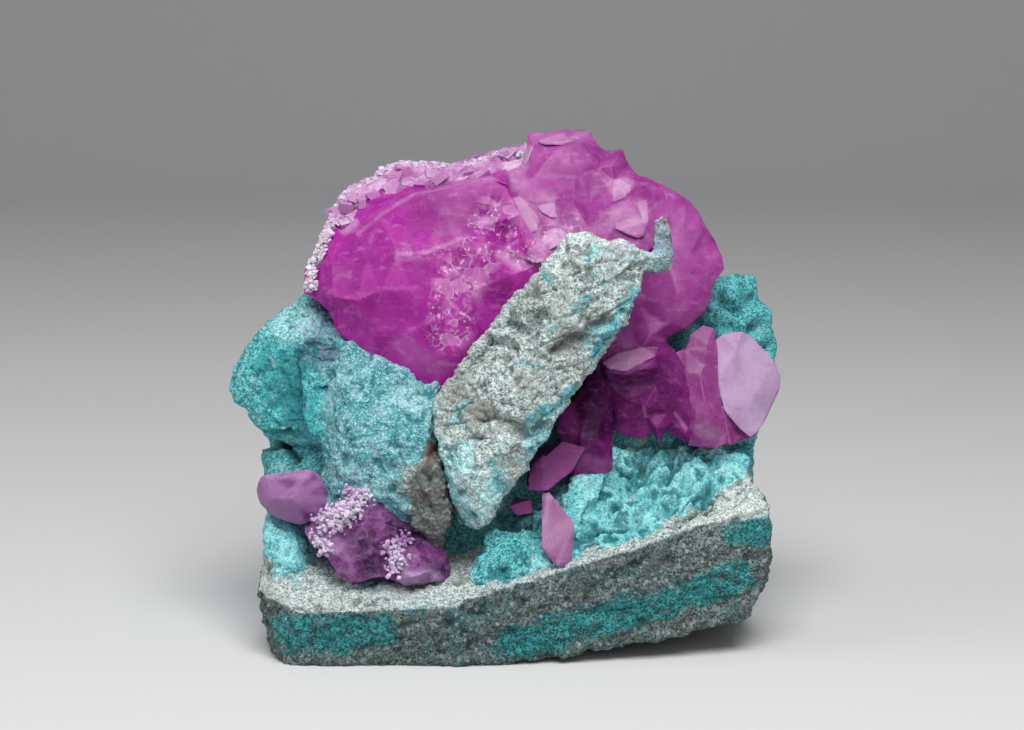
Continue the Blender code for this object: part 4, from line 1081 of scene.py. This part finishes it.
def along_rim(chance, count, spread):
    """Places strewn along the rim line: a random way along it, plus a random step off it."""
    path = np.array(RIM_LINE)
    lengths = np.linalg.norm(np.diff(path, axis=0), axis=1)
    starts = np.concatenate([[0], np.cumsum(lengths)])
    at = chance.uniform(0, lengths.sum(), count)
    stretch = np.clip(np.searchsorted(starts, at) - 1, 0, len(lengths) - 1)
    share = ((at - starts[stretch]) / lengths[stretch])[:, None]
    centres = path[stretch] * (1 - share) + path[stretch + 1] * share
    return centres + np.clip(chance.normal(0, 1, (count, 3)), -1.6, 1.6) * spread


def around(chance, places, count, spread):
    """Count places round each of the given ones, strewn by the spread."""
    centres = np.repeat(np.array(places), count, axis=0)
    return centres + chance.normal(0, 1, centres.shape) * spread


# Materials

# Where the Mix node keeps its two colours and their mix
MIX_FIRST, MIX_SECOND, MIX_RESULT = 6, 7, 2


class Board:
    """A node tree, with short calls to add nodes and join them. A value is a number, a socket, or a
    colour as a screen shows it: red, green and blue from 0 to 255."""

    def __init__(self, tree):
        self.tree = tree
        self.nodes = tree.nodes
        self.place = self.nodes.new("ShaderNodeTexCoord").outputs["Object"]

    def feed(self, value, slot):
        """Put a value into a node's input."""
        if isinstance(value, (int, float)):
            slot.default_value = value
        elif isinstance(value, tuple):
            slot.default_value = (*from_screen(*value), 1.0)
        else:
            self.tree.links.new(value, slot)

    def noise(self, size_mm, detail=3.0, rough=0.55, seed=0.0, place=None):
        """Noise of about size_mm, from 0 to 1."""
        node = self.nodes.new("ShaderNodeTexNoise")
        node.noise_dimensions = "4D"
        node.inputs["Scale"].default_value = 1 / (size_mm * MM)
        node.inputs["Detail"].default_value = detail
        node.inputs["Roughness"].default_value = rough
        node.inputs["W"].default_value = seed
        self.feed(place or self.place, node.inputs["Vector"])
        return node.outputs["Fac"]

    def bent_place(self, size_mm, push_mm):
        """Object coordinates, pushed about by noise."""
        node = self.nodes.new("ShaderNodeTexNoise")
        node.inputs["Scale"].default_value = 1 / (size_mm * MM)
        self.feed(self.place, node.inputs["Vector"])
        push = self.nodes.new("ShaderNodeVectorMath")
        push.operation = "MULTIPLY_ADD"
        self.feed(node.outputs["Color"], push.inputs[0])
        push.inputs[1].default_value = (push_mm * MM,) * 3
        self.feed(self.place, push.inputs[2])
        return push.outputs["Vector"]

    def streaky_place(self, place, turn, stretch):
        """A place turned about Y, then stretched on each axis."""
        node = self.nodes.new("ShaderNodeMapping")
        self.feed(place, node.inputs["Vector"])
        node.inputs["Rotation"].default_value = (0, turn, 0)
        node.inputs["Scale"].default_value = stretch
        return node.outputs["Vector"]

    def grains(self, size_mm, place=None):
        """Each grain of about size_mm has its own number from 0 to 1."""
        node = self.nodes.new("ShaderNodeTexVoronoi")
        node.inputs["Scale"].default_value = 1 / (size_mm * MM)
        self.feed(place or self.place, node.inputs["Vector"])
        parts = self.nodes.new("ShaderNodeSeparateColor")
        self.feed(node.outputs["Color"], parts.inputs["Color"])
        return parts.outputs["Red"]

    def cracks(self, size_mm, place=None):
        """0 on the lines between cells of about size_mm, rising away from them."""
        node = self.nodes.new("ShaderNodeTexVoronoi")
        node.feature = "DISTANCE_TO_EDGE"
        node.inputs["Scale"].default_value = 1 / (size_mm * MM)
        self.feed(place or self.place, node.inputs["Vector"])
        return node.outputs["Distance"]

    def mask(self, name):
        """A number that each point of the piece carries."""
        node = self.nodes.new("ShaderNodeAttribute")
        node.attribute_name = name
        return node.outputs["Fac"]

    def span(self, value, low, high, to_low=0.0, to_high=1.0):
        """The value, rescaled from low..high to to_low..to_high and kept inside."""
        node = self.nodes.new("ShaderNodeMapRange")
        node.interpolation_type = "SMOOTHSTEP"
        node.inputs["From Min"].default_value = low
        node.inputs["From Max"].default_value = high
        node.inputs["To Min"].default_value = to_low
        node.inputs["To Max"].default_value = to_high
        self.feed(value, node.inputs["Value"])
        return node.outputs["Result"]

    def maths(self, operation, first, second, third=0.0):
        """One step of arithmetic, by the name of Blender's operation."""
        node = self.nodes.new("ShaderNodeMath")
        node.operation = operation
        for value, slot in zip((first, second, third), node.inputs):
            self.feed(value, slot)
        return node.outputs["Value"]

    def times(self, first, second):
        """Two values multiplied."""
        return self.maths("MULTIPLY", first, second)

    def blend(self, share, first, second, kind="MIX"):
        """Two colours, mixed by a share."""
        node = self.nodes.new("ShaderNodeMix")
        node.data_type = "RGBA"
        node.blend_type = kind
        self.feed(share, node.inputs["Factor"])
        self.feed(first, node.inputs[MIX_FIRST])
        self.feed(second, node.inputs[MIX_SECOND])
        return node.outputs[MIX_RESULT]

    def tint(self, colour, value, low, high, most, target):
        """The colour, mixed towards the target by a share that grows from 0 to most while the value
        goes from low to high."""
        return self.blend(self.span(value, low, high, 0, most), colour, target)

    def bump(self, height, depth_mm, strength, under=None):
        """A normal tilted by a height, on top of the one under it."""
        node = self.nodes.new("ShaderNodeBump")
        node.inputs["Distance"].default_value = depth_mm * MM
        node.inputs["Strength"].default_value = strength
        self.feed(height, node.inputs["Height"])
        if under is not None:
            self.feed(under, node.inputs["Normal"])
        return node.outputs["Normal"]


def new_material(name):
    """A material, its board and its shader."""
    material = bpy.data.materials.new(name)
    material.use_nodes = True
    board = Board(material.node_tree)
    return material, board, board.nodes["Principled BSDF"]


def from_screen(red, green, blue):
    """A colour as a screen shows it, 0 to 255, in the linear values that a shader takes."""
    shown = np.array([red, green, blue]) / 255
    linear = np.where(shown <= 0.04045, shown / 12.92, ((shown + 0.055) / 1.055) ** 2.4)
    return tuple(float(value) for value in linear)


def rock_material():
    """Sandy stone under a crust of chrysocolla, whose border frays along the grains, with painted shade in
    hollows, creases and pits and on faces that look down or to the front.
    """
    material, board, shader = new_material("chrysocolla on sandy stone")
    broad = board.noise(3.4, 4, 0.6, 1.0)
    middling = board.noise(0.9, 3, 0.6, 2.0)
    fine = board.noise(0.35, 2, 0.6, 3.0)
    grain = board.grains(0.2)
    coarse = board.grains(0.38)
    hollow_shade = board.mask("hollow_shade")
    teal_and_valley_shade = board.times(board.mask("teal_and_valley_shade"), board.span(board.noise(1.3, 4, 0.65, 14.0), 0.36, 0.58))

    shade = board.maths("MULTIPLY_ADD", broad, 0.6, board.times(middling, 0.4))
    coat = board.tint((60, 136, 144), shade, 0.4, 0.62, 1, (126, 178, 186))
    coat = board.tint(coat, grain, 0.6, 1.0, 0.6, (190, 222, 224))
    coat = board.tint(coat, grain, 0.4, 0.0, 0.7, (30, 104, 114))
    # A deeper coat for lumps in shade: partly the coat's own colour, partly painted shade.
    deep_coat_and_shade = board.tint((24, 112, 120), grain, 0.1, 0.9, 1, (104, 192, 194))
    coat = board.tint(coat, board.mask("deep_coat_and_shade"), 0.0, 1.0, 0.85, deep_coat_and_shade)
    # A lighter coat for the floor lumps that face the light: partly the coat's own colour, partly painted
    # light.
    light_coat_and_light = board.tint((86, 178, 186), shade, 0.4, 0.62, 1, (158, 230, 230))
    light_coat_and_light = board.tint(light_coat_and_light, grain, 0.45, 0.0, 0.75, (40, 128, 140))
    light_coat_and_light = board.tint(light_coat_and_light, grain, 0.7, 1.0, 0.6, (184, 230, 228))
    coat = board.tint(coat, board.mask("light_coat_and_light"), 0.0, 1.0, 0.85, light_coat_and_light)
    dust = board.noise(1.6, 4, 0.65, 12.0)
    coat = board.tint(coat, dust, 0.58, 0.68, 0.6, (166, 166, 176))
    # Deeper blue-green on these paths: the coat's own veins and patches, and painted shade in the outer
    # lobe's valley.
    coat = board.tint(coat, teal_and_valley_shade, 0.1, 0.8, 0.55, (34, 124, 132))
    bright = board.times(teal_and_valley_shade, board.span(middling, 0.5, 0.62, 0, 0.5))
    coat = board.blend(bright, coat, (58, 172, 172))
    frosty = board.times(board.mask("pale"), board.span(grain, 0.2, 0.8, 0.3, 0.9))
    coat = board.blend(frosty, coat, (190, 226, 226))
    # Painted shade: the coat is darkened in hollows, creases and pits.
    coat = board.tint(coat, hollow_shade, 0.15, 1.0, 0.7, (24, 96, 106))

    stone = board.tint((110, 123, 122), grain, 0.05, 0.95, 1, (196, 211, 210))
    stone = board.tint(stone, coarse, 0.84, 0.96, 0.4, (206, 214, 212))
    stone = board.tint(stone, coarse, 0.14, 0.04, 0.5, (66, 70, 70))
    stone = board.tint(stone, broad, 0.46, 0.66, 0.5, (146, 144, 136))
    tan = board.times(board.mask("tan"), board.span(broad, 0.3, 0.6, 0.35, 0.8))
    stone = board.blend(tan, stone, (120, 112, 102))
    chalk = board.tint((142, 156, 156), grain, 0.05, 0.9, 1, (218, 228, 226))
    stone = board.tint(stone, board.mask("pale"), 0.1, 1.0, 0.85, chalk)
    stone = board.tint(stone, board.mask("brown"), 0.2, 0.9, 0.7, (92, 92, 90))
    # Painted shade: the stone is darkened in hollows, creases and pits.
    stone = board.tint(stone, hollow_shade, 0.2, 1.0, 0.55, (56, 62, 60))

    frayed = board.maths("MULTIPLY_ADD", middling, 1.6, board.mask("coat"))
    frayed = board.maths("MULTIPLY_ADD", grain, 0.5, frayed)
    colour = board.tint(stone, frayed, 1.4, 1.7, 1, coat)
    # Painted shade: a darker copy of the colour, with dark grains and deep blue-green, for faces that look
    # down or to the front.
    dark = board.blend(1.0, colour, (128, 136, 136), "MULTIPLY")
    dark = board.tint(dark, grain, 0.5, 0.0, 0.75, (26, 36, 36))
    dark = board.tint(dark, coarse, 0.88, 0.97, 0.5, (150, 168, 166))
    sea = board.tint((8, 58, 64), grain, 0.1, 0.9, 1, (52, 150, 150))
    dark = board.tint(dark, teal_and_valley_shade, 0.1, 0.7, 0.8, sea)
    colour = board.tint(colour, board.mask("shade_on_down_faces"), 0.1, 0.9, 0.9, dark)
    rust = board.times(board.mask("rust"), board.span(frayed, 0.95, 1.25))
    colour = board.blend(rust, colour, (98, 68, 56))
    lilac = board.times(board.mask("lilac"), board.span(middling, 0.4, 0.6, 0, 0.7))
    colour = board.blend(lilac, colour, (160, 138, 178))
    # Painted shade: the deepest pits are coloured near black.
    colour = board.tint(colour, board.mask("hole"), 0.2, 0.9, 0.95, (10, 14, 16))
    board.feed(colour, shader.inputs["Base Color"])
    shader.inputs["Roughness"].default_value = 0.92
    shader.inputs["Specular IOR Level"].default_value = 0.25

    normal = board.bump(fine, 0.16, 0.8)
    normal = board.bump(grain, 0.07, 0.8, normal)
    board.feed(normal, shader.inputs["Normal"])
    return material


def calcite_group():
    """What all the calcite shares: veils, streaks along its cleavage, each face's own tone, a darkening
    where the deep mask lies, partly painted shade, edges lightened as painted highlights, and flakes,
    white lines and painted glints (sparks) where it is broken. It takes four colours and the polish,
    and gives the colour, the roughness and the normal."""
    tree = bpy.data.node_groups.new("calcite body", "ShaderNodeTree")
    for name in ("Dark", "Deep", "Body", "Pale"):
        tree.interface.new_socket(name, in_out="INPUT", socket_type="NodeSocketColor")
    tree.interface.new_socket("Polish", in_out="INPUT", socket_type="NodeSocketFloat")
    tree.interface.new_socket("Colour", in_out="OUTPUT", socket_type="NodeSocketColor")
    tree.interface.new_socket("Roughness", in_out="OUTPUT", socket_type="NodeSocketFloat")
    tree.interface.new_socket("Normal", in_out="OUTPUT", socket_type="NodeSocketVector")
    board = Board(tree)
    given = tree.nodes.new("NodeGroupInput").outputs
    made = tree.nodes.new("NodeGroupOutput").inputs
    broken = board.mask("broken")
    bent = board.bent_place(2.5, 1.6)

    veil = board.noise(5.0, 4, 0.6, 1.0)
    depth = board.maths("MULTIPLY_ADD", board.mask("tone"), 0.25, veil)
    colour = board.tint(given["Deep"], depth, 0.4, 0.9, 1, given["Body"])
    # Painted shade, partly the crystal's darker colour: the deep places are darkened towards the dark
    # colour.
    shadow = board.times(board.mask("deep"), board.span(veil, 0.3, 0.6, 0.7, 1.0))
    colour = board.blend(shadow, colour, given["Dark"])
    cleavage = board.streaky_place(bent, math.radians(35), (0.3, 0.8, 1.3))
    streak = board.noise(0.9, 4, 0.6, 11.0, cleavage)
    colour = board.tint(colour, streak, 0.54, 0.7, 0.3, given["Pale"])
    colour = board.tint(colour, streak, 0.46, 0.3, 0.4, given["Dark"])
    wisp = board.noise(1.4, 6, 0.68, 4.0, bent)
    wisps = board.times(board.span(wisp, 0.5, 0.72), board.span(broken, 0, 1, 0.2, 0.55))
    colour = board.blend(wisps, colour, given["Pale"])
    # Painted highlight: the edges are lightened towards the pale colour.
    colour = board.tint(colour, board.mask("edge"), 0.1, 0.9, 0.4, given["Pale"])
    # Pale places lighten the colour: some are the crystal's paler parts, some painted highlights and glints.
    pale = board.times(board.mask("pale"), board.span(wisp, 0.3, 0.6, 0.35, 0.95))
    colour = board.blend(pale, colour, given["Pale"])

    flaked = board.streaky_place(bent, math.radians(-50), (0.6, 1.0, 1.0))
    flake = board.grains(1.5, flaked)
    strong = board.span(broken, 0.1, 0.8)
    colour = board.blend(board.times(strong, board.span(flake, 0.6, 1.0, 0, 0.5)), colour, given["Pale"])
    colour = board.blend(board.times(strong, board.span(flake, 0.4, 0.0, 0, 0.4)), colour, given["Dark"])
    line = board.span(board.cracks(1.5, flaked), 0.0, 0.035, 1, 0)
    line = board.times(line, board.span(board.noise(1.6, 2, 0.5, 8.0), 0.42, 0.56))
    # Painted glints: sparse tiny white points where the crystal is broken, added to its real white crack
    # lines.
    painted_glint = board.span(board.grains(0.3, bent), 0.93, 0.95)
    bright = board.times(board.maths("MAXIMUM", line, painted_glint), board.span(broken, 0.2, 0.9, 0, 0.65))
    colour = board.blend(bright, colour, (236, 210, 236))
    board.feed(colour, made["Colour"])

    matt = board.span(board.noise(2.2, 4, 0.6, 5.0), 0.3, 0.7, 0.6, 1.5)
    board.feed(board.times(given["Polish"], matt), made["Roughness"])
    normal = board.bump(board.noise(1.6, 3, 0.55, 7.0), 0.07, 0.6)
    normal = board.bump(board.noise(0.6, 2, 0.5, 9.0), 0.012, 0.5, normal)
    board.feed(normal, made["Normal"])
    return tree


# Each calcite: its dark, deep, body and pale colours as a screen shows them, its polish, how clear it
# is, the share of red, green and blue that it lets through, and how dense it is
CALCITES = {
    # Painted highlight: the crown's thin facets take this paler calcite because they catch the light.
    "blush calcite with painted highlight": (
        ((144, 46, 130), (174, 92, 164), (190, 124, 182), (218, 172, 214)),
        0.36, 0.3, (0.85, 0.35, 0.8), 80),
    "magenta calcite": (
        ((138, 14, 126), (158, 20, 144), (192, 56, 176), (224, 158, 216)),
        0.36, 0.35, (0.75, 0.12, 0.68), 160),
    "rose calcite": (
        ((130, 30, 120), (150, 48, 140), (184, 88, 172), (222, 166, 214)),
        0.36, 0.35, (0.75, 0.18, 0.68), 150),
    "shaded magenta calcite": (
        ((58, 8, 56), (92, 18, 86), (130, 44, 122), (164, 96, 156)),
        0.4, 0.1, (0.7, 0.12, 0.62), 220),
    "rosy calcite": (
        ((106, 38, 98), (146, 54, 134), (170, 92, 160), (214, 166, 206)),
        0.28, 0.35, (0.8, 0.3, 0.72), 120),
    "frosted lilac calcite": (
        ((142, 100, 150), (180, 146, 186), (200, 172, 206), (224, 204, 228)),
        0.45, 0.25, (0.85, 0.6, 0.85), 60),
    "pink calcite": (
        ((120, 58, 114), (152, 84, 142), (170, 114, 162), (202, 164, 198)),
        0.3, 0.35, (0.9, 0.4, 0.75), 90),
    "mauve calcite": (
        ((90, 40, 102), (122, 60, 130), (148, 88, 152), (200, 156, 200)),
        0.34, 0.35, (0.8, 0.4, 0.75), 110),
    "violet calcite": (
        ((56, 14, 64), (102, 40, 108), (138, 76, 140), (190, 156, 196)),
        0.32, 0.2, (0.75, 0.35, 0.75), 120),
    "sugary lilac calcite": (
        ((156, 116, 166), (192, 160, 202), (212, 186, 222), (232, 214, 240)),
        0.5, 0.1, (0.85, 0.6, 0.85), 60),
    "pale rim calcite": (
        ((164, 92, 158), (178, 112, 174), (198, 148, 196), (222, 198, 224)),
        0.4, 0.2, (0.85, 0.5, 0.85), 60),
    "white rim grains": (
        ((196, 158, 192), (204, 174, 204), (216, 192, 216), (230, 214, 230)),
        0.5, 0.05, (0.95, 0.85, 0.95), 40),
}


def calcite(name, group, colours, polish, clear, soak, density):
    """A calcite: the shared body in its own four colours, partly clear, and soaking up light."""
    material, board, shader = new_material(name)
    body = board.nodes.new("ShaderNodeGroup")
    body.node_tree = group
    for slot, colour in zip(("Dark", "Deep", "Body", "Pale"), colours):
        board.feed(colour, body.inputs[slot])
    body.inputs["Polish"].default_value = polish
    board.feed(body.outputs["Colour"], shader.inputs["Base Color"])
    board.feed(body.outputs["Roughness"], shader.inputs["Roughness"])
    board.feed(body.outputs["Normal"], shader.inputs["Normal"])
    shader.inputs["Transmission Weight"].default_value = clear
    shader.inputs["IOR"].default_value = 1.5
    shader.inputs["Specular IOR Level"].default_value = 0.045
    shader.inputs["Subsurface Weight"].default_value = 0.6
    shader.inputs["Subsurface Scale"].default_value = 0.7 * MM
    shader.inputs["Subsurface Radius"].default_value = (1.0, 0.3, 0.9)
    absorb = board.nodes.new("ShaderNodeVolumeAbsorption")
    absorb.inputs["Color"].default_value = (*soak, 1.0)
    absorb.inputs["Density"].default_value = density
    board.feed(absorb.outputs["Volume"], board.nodes["Material Output"].inputs["Volume"])
    return material


# The scene

# The sweep in millimetres: how far it reaches to the front, to each side and up, and where it bends
SWEEP_FRONT, SWEEP_HALF, SWEEP_TOP = -1400, 1500, 1900
BEND_FROM, BEND = 500, 400
# Each lamp's place and aim in metres, its width and height, its power and its colour
LAMPS = {
    "key": ((0.03, -0.24, 0.43), (0, 0, 0.035), (0.36, 0.3), 2.85, (1, 0.99, 0.97)),
    "left": ((-0.42, -0.1, 0.3), (0, 0, 0.03), (0.2, 0.3), 0.6, (0.97, 0.99, 1)),
    "front": ((0.1, -0.6, 0.2), (0, 0, 0.03), (0.5, 0.4), 0.6, (1, 1, 1)),
}


def dress(piece, material, node, slot):
    """Give a piece its material, and let it stand for a node of the frame."""
    piece.data.materials.clear()
    piece.data.materials.append(material)
    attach(piece, "root")
    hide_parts(node)


def soft_light(name, place, aim, size, power, colour):
    """A rectangular lamp at a place, turned to its aim."""
    lamp = bpy.data.lights.new(name, "AREA")
    lamp.shape = "RECTANGLE"
    lamp.size, lamp.size_y = size
    lamp.energy = power
    lamp.color = colour
    holder = bpy.data.objects.new(name, lamp)
    bpy.context.scene.collection.objects.link(holder)
    way = Vector(aim) - Vector(place)
    turn = way.to_track_quat("-Z", "Y").to_matrix().to_4x4()
    holder.matrix_world = Matrix.Translation(place) @ turn


def set_camera():
    """A long lens, a little above the level, straight in front."""
    forward = Vector((0, math.cos(CAMERA_RISE), -math.sin(CAMERA_RISE)))
    target = Vector((CAMERA_TARGET + SHIFT) * MM)
    camera = bpy.data.cameras.new("camera")
    camera.lens = LENS_MM
    camera.sensor_width = SENSOR_MM
    camera.clip_start = 0.01
    holder = bpy.data.objects.new("camera", camera)
    bpy.context.scene.collection.objects.link(holder)
    place = target - forward * CAMERA_WAY * MM
    turn = forward.to_track_quat("-Z", "Y").to_matrix().to_4x4()
    holder.matrix_world = Matrix.Translation(place) @ turn
    bpy.context.scene.camera = holder


def make_stage():
    """A pale sweep, a pale room and three soft lamps. The sweep is straight from side to side along a
    profile: a flat, a quarter circle and a wall."""
    bend = np.linspace(0, math.pi / 2, 25)
    back = np.concatenate([[SWEEP_FRONT], BEND_FROM + BEND * np.sin(bend), [BEND_FROM + BEND]])
    up = np.concatenate([[0], BEND * (1 - np.cos(bend)), [SWEEP_TOP]])
    sides = np.array([-SWEEP_HALF, SWEEP_HALF])
    across, along = np.meshgrid(sides, np.arange(len(back)), indexing="ij")
    points = np.column_stack([across.ravel(), back[along.ravel()], up[along.ravel()] + FOOT])
    faces = [(n, n + len(back), n + len(back) + 1, n + 1) for n in range(len(back) - 1)]
    floor = mesh_object("floor", points, faces)
    shade_smooth(floor.data)
    material, _, shader = new_material("pale floor")
    shader.inputs["Base Color"].default_value = (0.6, 0.6, 0.61, 1)
    shader.inputs["Roughness"].default_value = 0.7
    floor.data.materials.append(material)
    world = bpy.data.worlds.new("studio")
    bpy.context.scene.world = world
    world.use_nodes = True
    world.node_tree.nodes["Background"].inputs["Color"].default_value = (0.9, 0.92, 0.95, 1)
    world.node_tree.nodes["Background"].inputs["Strength"].default_value = 0.2
    for name, lamp in LAMPS.items():
        soft_light(name, *lamp)
    bpy.context.scene.view_settings.view_transform = "Standard"


set_camera()
make_stage()

stone = rock_material()
for name in ROCK_PIECES:
    dress(make_rock_piece(name), stone, "matrix_rock", "rock")

body = calcite_group()
looks = {name: calcite(name, body, *values) for name, values in CALCITES.items()}
magenta, rose = looks["magenta calcite"], looks["rose calcite"]
shaded, rosy, rim = looks["shaded magenta calcite"], looks["rosy calcite"], looks["pale rim calcite"]

CROWN = ("crown_crystals", "magenta_crystal")
plate = seen_crystal("great_plate", PLATE_OUTLINE, PLATE_INNER, rear=8, steps=16, broken=0.04, seed=1)
dress(plate, magenta, *CROWN)
strip = seen_crystal(
    "great_back", STRIP_OUTLINE, STRIP_INNER, rear=14, steps=10, faces=(4, 0.2), broken=0.1, seed=2)
dress(strip, magenta, *CROWN)
crest = seen_crystal(
    "crest", CREST_OUTLINE, CREST_INNER, rear=15, steps=12, faces=(2.6, 0.2), broken=0.05, seed=3)
dress(crest, rose, *CROWN)
dress(seen_crystal("disc", DISC_OUTLINE, DISC_INNER, rear=12, steps=8, seed=6), rose, *CROWN)
bed = seen_crystal(
    "rim_bed", RIM_OUTLINE, RIM_INNER, rear=17, steps=11, faces=(2.2, 0.5), broken=0.7, seed=8)
dress(bed, rim, *CROWN)
dress(grow_crystal("crown_heart", CROWN_HEART, (24, 48), seed=7), magenta, *CROWN)

chance = np.random.default_rng(4)
blocks = around(chance, RIM_INNER, 3, 0.6) + [0, 0.2, -1.0]
dress(make_druse("rim_blocks", blocks, chance.uniform(1.0, 2.0, len(blocks)), chance), rim, *CROWN)
grains = along_rim(chance, RIM_GRAINS, [0.4, 1.2, 0.4]) + [0.3, 0, -0.6]
grain_sizes = chance.uniform(0.3, 0.6, RIM_GRAINS)
dress(make_druse("rim_grains", grains, grain_sizes, chance), looks["white rim grains"], *CROWN)

LOWER = ("lower_crystals", "dark_crystal")
for number, (name, (sunk, outline)) in enumerate(TABLETS.items()):
    look, *place = (rosy, *LOWER) if name == "lip" else (looks["blush calcite with painted highlight"], *CROWN)
    dress(make_tablet(name.replace(" ", "_"), sunk, outline, seed=30 + number), look, *place)
cluster = seen_crystal(
    "shaded_cluster", CLUSTER_OUTLINE, CLUSTER_INNER, rear=3, steps=12, faces=(2.0, 0.2), broken=0.1, seed=9)
dress(cluster, shaded, *LOWER)
gloomy = seen_crystal(
    "gloomy_crystals", GLOOM_OUTLINE, GLOOM_INNER, rear=0, steps=12, faces=(2.4, 0.15), seed=10)
dress(gloomy, shaded, *LOWER)
low = grow_crystal("low_tablet", LOW_TABLET, (40, 76), sharpness=60, faces=(5.0, 0.3), seed=11)
dress(low, shaded, *LOWER)
upright = seen_crystal(
    "upright_crystal", UPRIGHT_OUTLINE, UPRIGHT_INNER, rear=2, steps=10, faces=(3.0, 0.1), seed=12)
dress(upright, rosy, *LOWER)
dress(grow_crystal("pink_wedge", PINK_WEDGE, (40, 80), sharpness=60, seed=13), rosy, *LOWER)
frosted = seen_crystal("pale_disc", FROSTED_OUTLINE, FROSTED_INNER, rear=4.5, steps=8, seed=14)
dress(frosted, looks["frosted lilac calcite"], "pale_crystal", "pale_crystal")

LEFT = ("left_crystals", "violet_crystal")
knob = grow_crystal("knob_crystal", KNOB_CRYSTAL, (60, 110), sharpness=22, faces=(6, 0.15), seed=15)
dress(knob, looks["mauve calcite"], *LEFT)
druse = seen_crystal(
    "druse", DRUSE_OUTLINE, DRUSE_INNER, rear=-8, steps=14, faces=(1.2, 0.5), broken=0.35, seed=16)
dress(druse, looks["violet calcite"], *LEFT)
lumps = around(chance, PALE_LUMPS, 44, 0.6) + [0, 0.5, 0]
pale_lumps = make_druse("pale_lumps", lumps, chance.uniform(0.2, 0.48, len(lumps)), chance)
dress(pale_lumps, looks["sugary lilac calcite"], *LEFT)

blade = grow_crystal("blade", BLADE, (44, 84), sharpness=60, seed=19)
dress(blade, looks["pink calcite"], "blade_crystal", "pink_crystal")
sliver = grow_crystal("sliver", SLIVER, (40, 80), sharpness=60, seed=20)
dress(sliver, shaded, "sliver_crystal", "dark_crystal")
